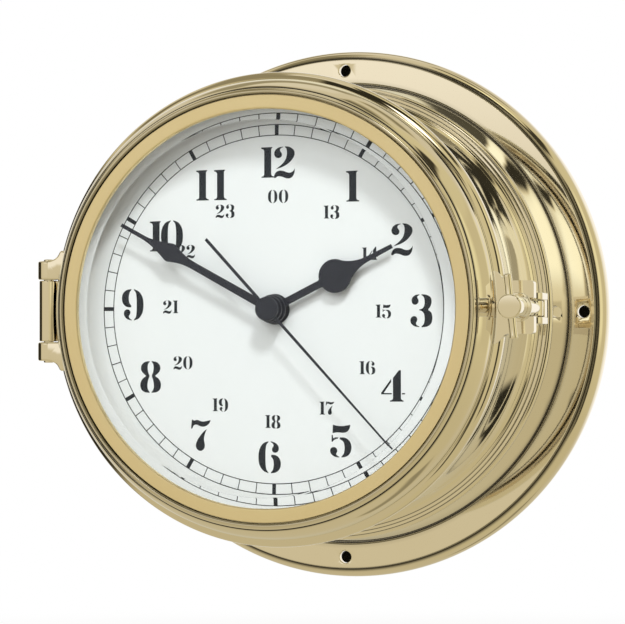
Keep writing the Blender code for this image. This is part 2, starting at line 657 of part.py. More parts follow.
def make_latch_washer(brass):
    rear, front = washer_span()
    return ring("latch_washer", BOLT_R + GAP, WASHER_R, rear, front, brass, shifted(BOLT_X, 0), ROUND_STEPS)


def bar_depth():
    return NUT_FRONT_D - NUT_HEAD_T / 2


def bar_placement(side):
    """Points a bar's local Z axis up or down from the nut's axis, leaning by the bar's tilt."""
    lean = Matrix.Rotation(math.radians(-BAR_TILT), 4, "Y")
    flip = Matrix.Rotation(math.radians(0 if side > 0 else 180), 4, "Y")
    return Matrix.Translation((BOLT_X, -bar_depth(), 0)) @ lean @ flip


def make_thumb_nut(brass):
    """A long collar, a round head and a closed crown, with a hole on each side for its bars."""
    rear = washer_span()[1] + GAP
    head = NUT_FRONT_D - NUT_HEAD_T
    bore = BOLT_R + GAP
    section = [(bore, rear), (NUT_COLLAR_R, rear), (NUT_COLLAR_R, head - 0.4 * MM), (NUT_HEAD_R, head),
               (NUT_HEAD_R, NUT_FRONT_D - 0.4 * MM), (NUT_HEAD_R - 0.4 * MM, NUT_FRONT_D), (0, NUT_FRONT_D),
               (0, NUT_FRONT_D - NUT_CROWN_T), (bore, NUT_FRONT_D - NUT_CROWN_T)]
    nut = turned("thumb_nut", section, brass, shifted(BOLT_X, 0), ROUND_STEPS)
    bars = []
    for side, label in ((1, "upper"), (-1, "lower")):
        place = bar_placement(side)
        drill(nut, f"bar_hole_{label}", BAR_R + GAP, BOLT_R + 0.7 * MM, NUT_HEAD_R + MM, place)
        start = BOLT_R + 0.7 * MM + GAP
        tip = 0.5 * MM
        bar = [(0, start), (BAR_R, start), (BAR_R, BAR_REACH - tip), (BAR_R - tip, BAR_REACH), (0, BAR_REACH)]
        bars.append(turned(f"thumb_bar_{label}", bar, brass, place, SMALL_STEPS))
    return nut, bars


def hand_points(side_points):
    """A hand's outline from the points of its one side, mirrored across its centre line."""
    return side_points + [(-x, y) for x, y in reversed(side_points) if x != 0]


def make_hand(name, side_points, hub_r, bore_r, depth, angle, black, thickness=HAND_T):
    """A flat hand that points at a clock angle, with a round hub and a bore for its tube."""
    place = FACING @ Matrix.Rotation(math.radians(-angle), 4, "Z")
    hand = plate(name, hand_points(side_points), depth, depth + thickness, black, place)
    fuse(hand, disc(f"{name}_hub", hub_r, depth, depth + 1.4 * thickness, None, place))
    if bore_r:
        drill(hand, f"{name}_bore", bore_r, depth - MM, depth + 4 * MM, place)
    return hand


def make_hands(black):
    neck = 0.65 * MM
    bulb = [(x, y) for x, y in arc(0, HOUR_BULB_AT, HOUR_BULB_R, -78, 50, 10)]
    hour_side = [(1.15 * MM, 0.0)] + bulb
    for share in (0.2, 0.45, 0.7, 1.0):
        start_x, start_y = bulb[-1]
        end_y = HOUR_BULB_AT + 2.1 * HOUR_BULB_R
        hour_side.append((neck + (start_x - neck) * (1 - share) ** 1.7, start_y + (end_y - start_y) * share))
    hour_side += [(neck, HOUR_L - neck), (0.0, HOUR_L)]
    hour = make_hand("hour_hand", hour_side, HOUR_HUB_R, HOUR_TUBE_R + GAP, HOUR_D, HOUR_ANGLE, black)

    spade_start = SPADE_AT - 9.0 * MM
    minute_side = [(1.5 * MM, 0.0), (1.35 * MM, spade_start)]
    for share in (0.4, 0.75):
        minute_side.append((1.35 * MM + (SPADE_HALF - 1.35 * MM) * share ** 1.8,
                            spade_start + (SPADE_AT - spade_start) * share))
    minute_side += [(SPADE_HALF, SPADE_AT), (2.0 * MM, SPADE_AT + 5.0 * MM), (0.75 * MM, SPADE_AT + 9.0 * MM),
                    (0.75 * MM, MINUTE_L - 0.4 * MM), (0.35 * MM, MINUTE_L)]
    minute = make_hand("minute_hand", minute_side, MINUTE_HUB_R, MINUTE_TUBE_R + GAP, MINUTE_D, MINUTE_ANGLE,
                       black)

    second_side = [(0.75 * MM, -SECOND_TAIL), (0.65 * MM, 0.0), (0.3 * MM, SECOND_L)]
    place = FACING @ Matrix.Rotation(math.radians(-SECOND_ANGLE), 4, "Z")
    second = plate("second_hand", hand_points(second_side), SECOND_D, SECOND_D + HAND_T, black, place)
    cap_front = SECOND_D + HAND_T + CAP_T
    cap = [(0, SECOND_D), (CAP_R - 0.3 * MM, SECOND_D), (CAP_R, SECOND_D + 0.3 * MM),
           (CAP_R, cap_front - 0.3 * MM), (CAP_R - 0.3 * MM, cap_front), (0, cap_front)]
    fuse(second, turned("cap_blank", cap, None, place, ROUND_STEPS))
    drill(second, "second_bore", SECOND_ARBOR_R + GAP, SECOND_D - MM, cap_front - MM / 2, place)
    return hour, minute, second


def movement_depths():
    """Rear and front of the movement housing, which hangs behind the dial on its threaded hub."""
    front = DIAL_FRONT_D - DIAL_T - GAP - CUSHION_T - GAP
    return front - MOVE_T, front


def make_housing(plastic, cushion_rubber, hardware):
    rear, front = movement_depths()
    wall = MOVE_WALL
    cover_front = rear + wall
    shell = block("movement_shell", (-MOVE_HALF_W, MOVE_BOTTOM_Z, cover_front + GAP),
                  (MOVE_HALF_W, MOVE_TOP_Z, front), plastic)
    cut(shell, block("train_room", (-MOVE_HALF_W + wall, BAY_TOP_Z, rear),
                     (MOVE_HALF_W - wall, MOVE_TOP_Z - wall, front - wall)))
    cut(shell, block("battery_room", (-MOVE_HALF_W + wall, MOVE_BOTTOM_Z + wall, rear),
                     (MOVE_HALF_W - wall, BAY_TOP_Z - wall, front - wall)))
    fuse(shell, disc("hub_blank", HUB_R, front - wall, front + HUB_LENGTH))
    cut(shell, disc("hub_bore", HUB_BORE_R, front - 2 * wall, front + 2 * HUB_LENGTH))

    cover = block("movement_cover", (-MOVE_HALF_W, BAY_TOP_Z, rear), (MOVE_HALF_W, MOVE_TOP_Z, cover_front),
                  plastic)
    knob_x, knob_z = polar(MOTION_DISTANCE, MOTION_ANGLE)
    drill(cover, "arbor_way", ARBOR_R + 2 * GAP, rear - MM, cover_front + MM, shifted(knob_x, knob_z))

    cushion_rear = front + GAP
    cushion = ring("movement_cushion", HUB_R + GAP, CUSHION_R, cushion_rear, cushion_rear + CUSHION_T,
                   cushion_rubber, FACING, ROUND_STEPS)
    washer_rear = DIAL_FRONT_D + GAP
    washer_front = washer_rear + HUB_WASHER_T
    washer = ring("hub_washer", HUB_R + GAP, HUB_WASHER_R, washer_rear, washer_front, hardware, FACING,
                  ROUND_STEPS)
    nut = plate("hub_nut", arc(0, 0, HUB_NUT_R, 0, 300, 5), washer_front + GAP,
                washer_front + GAP + HUB_NUT_T, hardware)
    cut(nut, disc("hub_nut_bore", HUB_R + GAP, washer_front - MM, washer_front + 4 * MM))
    return shell, cover, cushion, washer, nut


def wheel_levels():
    """Depths of the three wheel levels, measured from the cover's inner face."""
    base = movement_depths()[0] + MOVE_WALL
    return {"step": base + 1.0 * MM, "third": base + 2.8 * MM, "second": base + 4.6 * MM,
            "centre": base + 7.4 * MM, "motion": base + 9.4 * MM, "hour": base + 10.6 * MM}


def stepped(name, bands, material, placement=FACING, steps=ROUND_STEPS, bore=0.0):
    """A turned stack of bands (radius, low, high), listed in order along the axis."""
    outer = []
    for radius, low, high in bands:
        outer += [(radius, low), (radius, high)]
    section = [(bore, bands[0][1])] + outer + [(bore, bands[-1][2])]
    return turned(name, section, material, placement, steps)


def make_train(brass, plastic, magnet):
    level = wheel_levels()
    thick = WHEEL_T
    rear = movement_depths()[0]
    start = rear + MOVE_WALL + GAP
    rotor_r, step_r = pitch_radii(ROTOR_DISTANCE, TEETH_ROTOR, TEETH_STEP_WHEEL)
    step_pinion_r, second_r = pitch_radii(STEP_DISTANCE, TEETH_STEP_PINION, TEETH_SECOND_WHEEL)
    second_pinion_r, third_r = pitch_radii(THIRD_DISTANCE, TEETH_SECOND_PINION, TEETH_THIRD_WHEEL)
    third_pinion_r, centre_r = pitch_radii(THIRD_DISTANCE, TEETH_THIRD_PINION, TEETH_CENTRE_WHEEL)
    centre_pinion_r, motion_r = pitch_radii(MOTION_DISTANCE, TEETH_CENTRE_PINION, TEETH_MOTION_WHEEL)
    motion_pinion_r, hour_r = pitch_radii(MOTION_DISTANCE, TEETH_MOTION_PINION, TEETH_HOUR_WHEEL)

    second = stepped("second_wheel", [
        (SECOND_ARBOR_R, start, level["third"] - GAP),
        (second_pinion_r, level["third"] - GAP, level["second"]),
        (second_r, level["second"], level["second"] + thick),
        (SECOND_ARBOR_R, level["second"] + thick, SECOND_D + HAND_T + CAP_T - 0.8 * MM)], plastic)
    centre = stepped("centre_wheel", [
        (centre_r, level["centre"], level["centre"] + thick),
        (centre_pinion_r, level["centre"] + thick, level["motion"] + thick),
        (MINUTE_TUBE_R, level["motion"] + thick, MINUTE_D + 1.6 * MM)], brass,
        bore=SECOND_ARBOR_R + GAP)
    hour = stepped("hour_wheel", [
        (hour_r, level["hour"], level["hour"] + thick),
        (HOUR_TUBE_R, level["hour"] + thick, HOUR_D + 1.3 * MM)], brass, bore=MINUTE_TUBE_R + GAP)

    x, z = polar(THIRD_DISTANCE, THIRD_ANGLE)
    third = stepped("third_wheel", [
        (ARBOR_R, start, level["third"]), (third_r, level["third"], level["third"] + thick),
        (third_pinion_r, level["third"] + thick, level["centre"] + thick),
        (ARBOR_R, level["centre"] + thick, level["centre"] + 2 * thick)], plastic, shifted(x, z), SMALL_STEPS)
    step_x, step_z = polar(STEP_DISTANCE, STEP_ANGLE)
    step = stepped("step_wheel", [
        (ARBOR_R, start, level["step"]), (step_r, level["step"], level["step"] + thick),
        (step_pinion_r, level["step"] + thick, level["second"] + thick)], plastic,
        shifted(step_x, step_z), SMALL_STEPS)
    turn_x, turn_z = polar(ROTOR_DISTANCE, ROTOR_ANGLE)
    rotor_x, rotor_z = step_x + turn_x, step_z + turn_z
    rotor = stepped("rotor", [
        (ARBOR_R, start, level["step"]), (rotor_r, level["step"], level["step"] + thick),
        (MAGNET_R, level["third"], level["third"] + MAGNET_T)], magnet, shifted(rotor_x, rotor_z), SMALL_STEPS)

    x, z = polar(MOTION_DISTANCE, MOTION_ANGLE)
    motion = stepped("motion_wheel", [
        (ARBOR_R, rear - KNOB_T / 2, level["motion"]), (motion_r, level["motion"], level["motion"] + thick),
        (motion_pinion_r, level["motion"] + thick, level["hour"] + thick)], brass, shifted(x, z), SMALL_STEPS)
    knob = turned("setting_knob", [
        (ARBOR_R + GAP, rear - KNOB_T / 2 - GAP), (0, rear - KNOB_T / 2 - GAP), (0, rear - KNOB_T - GAP),
        (KNOB_R - 0.8 * MM, rear - KNOB_T - GAP), (KNOB_R, rear - KNOB_T + 0.6 * MM), (KNOB_R, rear - GAP),
        (ARBOR_R + GAP, rear - GAP)], plastic, shifted(x, z), ROUND_STEPS)
    return {"second": second, "centre": centre, "hour": hour, "third": third, "step": step, "rotor": rotor,
            "motion": motion, "knob": knob, "rotor_at": (rotor_x, rotor_z)}


def make_motor(rotor_at, steel, copper, board_green):
    """Stator, coil, core and circuit board of the stepping motor."""
    level = wheel_levels()
    mid = level["third"] + MAGNET_T / 2
    x, z = rotor_at
    coil_mid = x - 0.5 * MM
    left = coil_mid - COIL_L / 2 - GAP
    right = coil_mid + COIL_L / 2 + GAP
    leg = 3.0 * MM
    low = z - MAGNET_R - 1.4 * MM
    high = z + MAGNET_R + 1.4 * MM
    top = COIL_Z + 1.6 * MM
    outline = [(left - leg, low), (x + MAGNET_R + 1.4 * MM, low), (x + MAGNET_R + 1.4 * MM, high - 1.6 * MM),
               (right + leg, high - 1.6 * MM), (right + leg, top), (right, top), (right, high), (left, high),
               (left, top), (left - leg, top)]
    stator = plate("stator", outline, mid - STATOR_T / 2, mid + STATOR_T / 2, steel)
    cut(stator, disc("stator_eye", MAGNET_R + STATOR_CLEARANCE, mid - MM, mid + MM, None, shifted(x, z)))
    along = sideways(mid, coil_mid, COIL_Z)
    coil = ring("drive_coil", COIL_BORE_R, COIL_R, -COIL_L / 2, COIL_L / 2, copper, along, SMALL_STEPS)
    core = disc("coil_core", CORE_R, -COIL_L / 2, COIL_L / 2, steel, along, SMALL_STEPS)
    front = movement_depths()[1] - MOVE_WALL - GAP
    board = block("circuit_board", (-MOVE_HALF_W + MOVE_WALL + GAP, BAY_TOP_Z + GAP, front - 0.8 * MM),
                  (-12.0 * MM, 2.0 * MM, front), board_green)
    return stator, coil, core, board


def make_battery(jacket, steel):
    rear, front = movement_depths()
    depth = front - MOVE_WALL - GAP - BATTERY_R
    half = BATTERY_L / 2
    along = sideways(depth, 0.0, BATTERY_Z)
    section = [(0, -half), (BATTERY_R - 0.4 * MM, -half), (BATTERY_R, -half + 0.4 * MM),
               (BATTERY_R, half - BATTERY_NUB_L - 0.4 * MM), (BATTERY_R - 0.4 * MM, half - BATTERY_NUB_L),
               (BATTERY_NUB_R, half - BATTERY_NUB_L), (BATTERY_NUB_R, half), (0, half)]
    battery = turned("battery", section, jacket, along, ROUND_STEPS)
    made = [battery]
    for label, side in (("plus", 1), ("minus", -1)):
        inside = side * (half + GAP)
        outside = side * (half + GAP + CONTACT_T)
        low_x, high_x = sorted((inside, outside))
        made.append(block(f"battery_contact_{label}", (low_x, BATTERY_Z - CONTACT_HALF, depth - CONTACT_HALF),
                          (high_x, BATTERY_Z + CONTACT_HALF, front - MOVE_WALL - GAP), steel))
    return made


def build():
    clear_scene()
    brass = make_material("polished_brass", (0.86, 0.68, 0.36), 0.12, 1.0)
    satin = make_material("satin_brass", (0.84, 0.62, 0.30), 0.35, 1.0)
    glass = make_material("clear_glass", (0.95, 0.98, 0.97), 0.03, 0.0, 0.3)
    rubber = make_material("black_rubber", (0.03, 0.03, 0.03), 0.8, 0.0)
    white = make_material("dial_white", (0.93, 0.94, 0.94), 0.45, 0.0)
    black = make_material("hand_black", (0.03, 0.035, 0.045), 0.4, 0.0)
    plastic = make_material("movement_plastic", (0.04, 0.04, 0.045), 0.5, 0.0)
    wheel_white = make_material("wheel_plastic", (0.8, 0.8, 0.76), 0.5, 0.0)
    steel = make_material("contact_steel", (0.62, 0.62, 0.62), 0.35, 1.0)
    copper = make_material("coil_wire", (0.65, 0.24, 0.1), 0.4, 1.0)
    board_green = make_material("board_green", (0.05, 0.22, 0.1), 0.5, 0.0)
    jacket = make_material("battery_jacket", (0.25, 0.27, 0.3), 0.35, 0.0)

    make_case(brass)
    make_hinge_pin(brass)
    make_seal(rubber)
    make_dial(white)
    make_dial_screws(brass)
    make_latch_bracket(brass)
    make_bracket_screws(brass)
    make_latch_pin(brass)

    bezel = make_bezel(brass)
    gasket, retainer = make_glass_seat(rubber, brass)
    hang_on("bezel_pivot", (HINGE_X, -HINGE_D, 0), [bezel, make_lip_ring(satin), make_glass(glass), gasket,
                                                    retainer])

    nut, bars = make_thumb_nut(brass)
    hang_on("bolt_pivot", (BOLT_X, -LATCH_PIN_D, 0), [make_swing_bolt(brass)])
    hang_on("nut_pivot", (BOLT_X, -bar_depth(), 0), [make_latch_washer(brass), nut] + bars)

    make_housing(plastic, rubber, black)
    train = make_train(brass, wheel_white, steel)
    make_motor(train["rotor_at"], steel, copper, board_green)
    make_battery(jacket, steel)
    hour, minute, second = make_hands(black)
    hang_on("hands_pivot", (0, -DIAL_FRONT_D, 0), [hour, minute, second, train["second"], train["centre"],
                                                   train["hour"]])


build()
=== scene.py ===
"""Looks of the brass porthole clock: turned brass, bevelled glass, a printed dial, black hands, the
swing bolt latch and the movement behind the dial.

Sizes are in millimetres until a mesh is made. X is to the right and Z up. A depth is a distance in
front of the wall, so depth d lies at Y = -d. A section is a list of (radius, depth) points.
"""
import math

import bmesh
import bpy
import numpy as np
from mathutils import Matrix, Vector


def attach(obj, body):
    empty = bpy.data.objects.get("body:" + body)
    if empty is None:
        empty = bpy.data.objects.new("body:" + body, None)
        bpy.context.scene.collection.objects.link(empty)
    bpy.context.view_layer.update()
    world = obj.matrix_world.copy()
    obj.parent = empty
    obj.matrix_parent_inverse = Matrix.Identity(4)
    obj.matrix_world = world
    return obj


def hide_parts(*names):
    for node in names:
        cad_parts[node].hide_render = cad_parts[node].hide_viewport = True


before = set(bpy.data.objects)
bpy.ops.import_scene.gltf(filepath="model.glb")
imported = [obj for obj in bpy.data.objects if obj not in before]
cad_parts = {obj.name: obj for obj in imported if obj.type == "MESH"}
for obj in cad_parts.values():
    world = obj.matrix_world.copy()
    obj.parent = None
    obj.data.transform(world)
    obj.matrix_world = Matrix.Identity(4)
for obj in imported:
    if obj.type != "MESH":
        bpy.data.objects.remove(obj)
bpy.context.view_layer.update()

# Rows are the two directions of a section's radius, then the direction along its axis
FACING = np.array([[1.0, 0, 0], [0, 0, 1.0], [0, -1.0, 0]])
UPRIGHT = np.array([[1.0, 0, 0], [0, 1.0, 0], [0, 0, 1.0]])
SIDEWAYS = np.array([[0, 1.0, 0], [0, 0, 1.0], [1.0, 0, 0]])
CENTRE = np.zeros(3)

# A point on the hinge's axis, the room kept for the case's barrel, the far end of a bezel's knuckle
HINGE = np.array([-93.7, -99.4, 0.0])
BARREL_ROOM_R, BARREL_ROOM_Z, KNUCKLE_END_Z = 4.8, 12.1, 19.4

# The swing bolt's axis, the depth of the pin that it swings on, and its thread
BOLT_X, LATCH_PIN_D, THREAD_PITCH = 95.3, 80.0, 0.8

# The flange's front and the floor of the recess behind it, and the mounting holes
FLANGE_D, RECESS_D = 13.3, 10.2
HOLE_CIRCLE_R, HOLE_R = 99.4, 2.5

# The waist's narrowest place, and how much it widens over how much depth behind and in front of it
WAIST_R, WAIST_D = 82.7, 59.0
WAIST_REAR, WAIST_FRONT = (1.92, 21.35), (3.2, 29.0)

# The dial's face, and the lower and upper face of the ink's lines and of the ticks across them
DIAL_D = 98.5
INK_D, TICK_D = (DIAL_D + 0.01, DIAL_D + 0.05), (DIAL_D + 0.012, DIAL_D + 0.052)

# A reach longer than any side, which rounds a corner as widely as its sides allow
SOFT = 99.0


def unit(vectors):
    """Each vector divided by its own length."""
    length = np.linalg.norm(vectors, axis=-1, keepdims=True)
    return vectors / np.where(length < 1e-9, 1.0, length)


def rounded(corners, closed=True, steps=6, hold=0.2):
    """Points of an outline whose corners are rounded.

    A corner P with reach w becomes the curve (1-t)^2 A + 2t(1-t) P + t^2 B, where A and B lie w back
    and w ahead of P along its sides. A point at most `hold` outside A and B keeps the flats there flat.
    """
    corners = np.array(corners, float)
    point, reach = corners[:, :2], corners[:, 2:]
    back, ahead = np.roll(point, 1, 0) - point, np.roll(point, -1, 0) - point
    room = np.minimum(np.linalg.norm(back, axis=1), np.linalg.norm(ahead, axis=1))[:, None]
    reach = np.minimum(reach, 0.5 * room)
    start, end = point + unit(back) * reach, point + unit(ahead) * reach
    t = np.linspace(0, 1, steps + 1)[None, :, None]
    arcs = (1 - t) ** 2 * start[:, None] + 2 * t * (1 - t) * point[:, None] + t ** 2 * end[:, None]
    spare = np.minimum(hold, np.maximum(0.5 * room - reach, 0) * 0.5)
    before, after = start + unit(back) * spare, end + unit(ahead) * spare
    rows = np.concatenate([before[:, None], arcs, after[:, None]], 1).reshape(-1, 2)
    if not closed:
        rows = rows[1:-1]
    apart = np.linalg.norm(rows - np.roll(rows, 1, 0), axis=1) > 1e-4
    apart[0] = apart[0] or not closed
    return rows[apart]


def quilt(rows, columns, wrap_rows=False, wrap_columns=True):
    """Four-sided faces between neighbours of a grid of points, numbered row by row."""
    index = np.arange(rows * columns).reshape(rows, columns)
    if wrap_rows:
        index = np.concatenate([index, index[:1]], 0)
    if wrap_columns:
        index = np.concatenate([index, index[:, :1]], 1)
    return np.stack([index[:-1, :-1], index[1:, :-1], index[1:, 1:], index[:-1, 1:]], -1).reshape(-1, 4)


def turned(section, steps, at=CENTRE, axes=FACING, ripple=0.0):
    """A section spun about an axis: P = at + r cos(a) U + r sin(a) V + h W, with a ripple added to r."""
    section = np.asarray(section, float)
    angle = np.arange(steps) * math.tau / steps
    across = np.cos(angle)[:, None] * axes[0] + np.sin(angle)[:, None] * axes[1]
    radius = np.broadcast_to(section[:, :1] + ripple, (len(section), steps))
    points = at + radius[..., None] * across[None] + section[:, 1, None, None] * axes[2]
    on_axis = section[0, 0] < 1e-9 and section[-1, 0] < 1e-9
    return points.reshape(-1, 3), quilt(len(section), steps, not on_axis)


def mitre(outline):
    """The outward direction at each corner of an outline, long enough to keep its sides parallel.

    At the sharpest corners it is held short, so that no corner shoots out.
    """
    after = np.roll(outline, -1, 0)
    side = unit(after - outline)
    area = np.sum(outline[:, 0] * after[:, 1] - after[:, 0] * outline[:, 1])
    normal = np.stack([side[:, 1], -side[:, 0]], 1) * np.sign(area)
    last = np.roll(normal, 1, 0)
    return (normal + last) / np.maximum(1 + (normal * last).sum(1, keepdims=True), 0.35)


def easing(edge, steps):
    """A quarter-round rim: e (1 - sin a) inside its edge, it has risen by e (1 - cos a)."""
    turn = np.linspace(0, math.pi / 2, steps + 1)
    return edge * (1 - np.sin(turn)), edge * (1 - np.cos(turn))


def slab(outline, low, high, edge, at=CENTRE, axes=FACING, steps=3):
    """An outline raised from low to high, with quarter-round rims."""
    outline = np.asarray(outline, float)
    inset, rise = easing(edge, steps)
    insets = np.concatenate([inset, inset[::-1]])
    heights = np.concatenate([low + rise, high - rise[::-1]])
    flat = outline[None] - insets[:, None, None] * mitre(outline)[None]
    points = at + flat @ axes[:2] + heights[:, None, None] * axes[2]
    count, total = len(outline), len(insets) * len(outline)
    walls = quilt(len(insets), count).tolist()
    caps = [list(range(count)), list(range(total - count, total))]
    return points.reshape(-1, 3), walls + caps


def collar(outer, inner):
    """Three-sided faces between two rings of plane points that go round the same middle.

    Both rings are put in order of angle. Each side of one ring is joined to the point of the other ring
    that was passed last.
    """
    def order(ring):
        angle = np.arctan2(ring[:, 1], ring[:, 0])
        place = np.argsort(angle)
        return place, angle[place]
    (far, far_angle), (near, near_angle) = order(outer), order(inner)
    far_next, near_next = np.roll(far_angle, -1), np.roll(near_angle, -1)
    far_next[-1] += math.tau
    near_next[-1] += math.tau
    beside_near = (np.searchsorted(far_angle, near_next, "left") - 1) % len(far)
    beside_far = (np.searchsorted(near_angle, far_next, "right") - 1) % len(near)
    fans_near = np.stack([near, np.roll(near, -1), far[beside_near]], 1)
    fans_far = np.stack([far, np.roll(far, -1), near[beside_far]], 1)
    return fans_near, fans_far


def paint_crease_shade(mesh, creases):
    """Marks the points near a turned crease with exp(-(distance / width)^2), for the finish to darken
    them: painted shade.

    A crease is (radius, depth, width), and the distance is measured in radius and depth.
    """
    points = np.empty(len(mesh.vertices) * 3)
    mesh.vertices.foreach_get("co", points)
    x, y, z = points.reshape(-1, 3).T * 1000
    creases = np.array(creases)
    gap = np.stack([np.hypot(x, z), -y], 1)[:, None] - creases[None, :, :2]
    shade = np.exp(-(np.linalg.norm(gap, axis=2) / creases[:, 2]) ** 2).max(1)
    mesh.attributes.new("crease", "FLOAT", "POINT").data.foreach_set("value", shade)


def make_piece(name, parts, finish, body, slot, nodes=(), crease=32.0, bevel=0.0, creases=()):
    """One object from (points, faces) parts: doubles merged, faces turned outwards, shaded smooth.

    It rides on a body and stands for the named nodes. The slot is not used.
    """
    offsets = np.cumsum([0] + [len(points) for points, _ in parts])
    faces = []
    for offset, (_, part_faces) in zip(offsets, parts):
        if isinstance(part_faces, np.ndarray):
            faces += (part_faces + offset).tolist()
        else:
            faces += [[corner + int(offset) for corner in face] for face in part_faces]
    mesh = bpy.data.meshes.new(name)
    mesh.from_pydata(np.concatenate([points for points, _ in parts]) * 0.001, [], faces)
    shape = bmesh.new()
    shape.from_mesh(mesh)
    bmesh.ops.remove_doubles(shape, verts=shape.verts, dist=4e-7)
    bmesh.ops.dissolve_degenerate(shape, edges=shape.edges, dist=1e-8)
    bmesh.ops.recalc_face_normals(shape, faces=shape.faces)
    shape.to_mesh(mesh)
    shape.free()
    mesh.materials.append(finish)
    mesh.shade_smooth()
    mesh.set_sharp_from_angle(angle=math.radians(crease))
    # Painted shade: the points near the creases are marked, for the brass to turn dark there
    if creases:
        paint_crease_shade(mesh, creases)
    piece = bpy.data.objects.new(name, mesh)
    bpy.context.scene.collection.objects.link(piece)
    if bevel:
        rim = piece.modifiers.new("eased_edges", "BEVEL")
        rim.width = bevel * 0.001
        rim.segments = 3
        rim.limit_method = "ANGLE"
        rim.angle_limit = math.radians(35)
        rim.harden_normals = True
    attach(piece, body)
    if nodes:
        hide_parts(*nodes)


def along(section, *more):
    """Sections joined end to end."""
    return np.concatenate([np.asarray(section, float), *[np.asarray(part, float) for part in more]])


# Case

def waist_radius(depth, narrowest):
    """r = narrowest + k ((d - 59) / s)^2, with k and s of its own behind and in front of depth 59."""
    behind = depth < WAIST_D
    growth = np.where(behind, WAIST_REAR[0], WAIST_FRONT[0])
    span = np.where(behind, WAIST_REAR[1], WAIST_FRONT[1])
    return narrowest + growth * ((depth - WAIST_D) / span) ** 2


def waist_section():
    """The waist, from the stepped base to the front rim."""
    depth = along(np.linspace(41.5, WAIST_D, 14), np.linspace(WAIST_D, 87, 18)[1:])
    return np.stack([waist_radius(depth, WAIST_R), depth], 1)


def case_section():
    """The case's wall: rim, flange, stepped base, waist, front rim, then back down the bore."""
    rim = rounded([(104.0, 0, 0.3), (107.1, 0, 0.5), (107.75, 2.2, SOFT), (108.0, 4.9, SOFT),
                   (107.5, 8.6, SOFT), (105.9, 11.2, SOFT), (104.25, 12.15, 0.15), (103.95, 12.5, 0.1),
                   (103.8, FLANGE_D, 0.22), (102.6, FLANGE_D, 0), (96.2, FLANGE_D, 0),
                   (94.35, FLANGE_D, 0.1), (93.9, 12.95, 0.1), (93.6, 13.6, 0.3), (93.3, 14.4, 0.3),
                   (92.2, 20.5, SOFT), (91.2, 27.0, SOFT), (90.75, 30.1, 0.3), (91.25, 30.9, 0.35),
                   (91.35, 32.2, 0.5), (91.05, 33.35, 0.5), (90.2, 33.9, 0.25), (89.75, 33.95, 0.12),
                   (89.65, 34.95, 0.2), (88.45, 35.15, 0.2), (88.3, 36.2, 0.2), (87.15, 36.4, 0.2),
                   (87.0, 37.35, 0.25), (85.9, 37.75, 0.3), (84.7, 39.3, SOFT)], False)
    front = rounded([(85.55, 87.6, 1.0), (85.9, 90.0, 1.0), (85.9, 100.0, 0.35), (82.3, 100.0, 0.2),
                     (82.3, 97.2, 0), (76.8, 97.2, 0.2), (76.8, 93.6, 0.2), (79.4, 91.0, 0.4),
                     (79.4, 36.4, 2.0), (88.0, 30.8, 2.0), (90.0, RECESS_D, 0.6), (91.2, RECESS_D, 0),
                     (102.2, RECESS_D, 0), (103.0, RECESS_D, 0.4), (104.0, 9.2, 0.3)], False, 4)
    return along(rim, waist_section(), front)


def pierced_case():
    """The case spun from its section, with a window left at each mounting hole, front and back.

    A window is filled by a flat collar round the hole, and the two collars are joined by the hole's
    wall, whose mouths are eased. A window is 2 columns wide on each side of its hole, and a hole has 40
    points round it.
    """
    section = case_section()
    steps, wide, fine = 240, 2, 40
    quarters = steps // 4
    points, faces = turned(section, steps)
    grid = np.arange(len(section) * steps).reshape(-1, steps)
    front = int(np.argmin(np.abs(section - [102.4, FLANGE_D]).sum(1)))
    back = int(np.argmin(np.abs(section - [91.4, RECESS_D]).sum(1)))
    row, column = np.divmod(np.arange(len(faces)), steps)
    near = (column[:, None] - np.arange(4) * quarters + wide) % steps < 2 * wide
    window = near.any(1) & ((row == front) | (row == back))
    parts = [(points, faces[~window])]
    grow, rise = easing(0.35, 3)
    depth = np.concatenate([FLANGE_D - rise, RECESS_D + rise[::-1]])
    radius = HOLE_R + np.concatenate([grow, grow[::-1]])
    for quarter in range(4):
        turn = quarter * math.pi / 2
        outward = np.array([math.cos(turn), 0, math.sin(turn)])
        sideways = np.array([-math.sin(turn), 0, math.cos(turn)])
        middle = outward * HOLE_CIRCLE_R
        hole_axes = np.stack([outward, sideways, [0, -1, 0]])
        ring = turned(np.stack([radius, depth], 1), fine, middle, hole_axes)[0]
        parts.append((ring, quilt(len(depth), fine)))
        columns = (np.arange(-wide, wide + 1) + quarter * quarters) % steps
        for level, mouth in ((front, ring[:fine]), (back, ring[-fine:])):
            edge = points[np.concatenate([grid[level, columns], grid[level + 1, columns]])]
            outer, inner = [np.stack([(rim - middle) @ outward, (rim - middle) @ sideways], 1)
                            for rim in (edge, mouth)]
            fans_near, fans_far = collar(outer, inner)
            count = len(edge)
            flat = np.concatenate([fans_near + [count, count, 0], fans_far + [0, 0, count]])
            parts.append((np.concatenate([edge, mouth]), flat))
    return parts


def hinge_arm():
    """The case's half of the hinge: a swept arm, flat on its sides, that carries the barrel."""
    corbel = [(-84.9, -68.0, 0.5)]
    sweep = np.linspace(0.12, 1, 10) * math.pi / 2
    corbel += [(-84.7 - 11.7 * (1 - math.cos(a)), -68 - 22 * math.sin(a), 0.6) for a in sweep]
    outline = rounded([(-96.4, -99.4, 0), (-91.0, -99.4, 0), (-91.0, -95.2, 0.6), (-89.2, -93.6, 1.0),
                       (-84.9, -92.3, 0)] + corbel, True, 3)
    arm = slab(outline, -11.3, 11.3, 0.5, CENTRE, UPRIGHT)
    barrel = rounded([(2.2, -11.8, 0.2), (3.6, -11.8, 0.5), (3.6, 11.8, 0.5), (2.2, 11.8, 0.2)])
    return [arm, turned(barrel, 64, HINGE, UPRIGHT)]


# Bezel

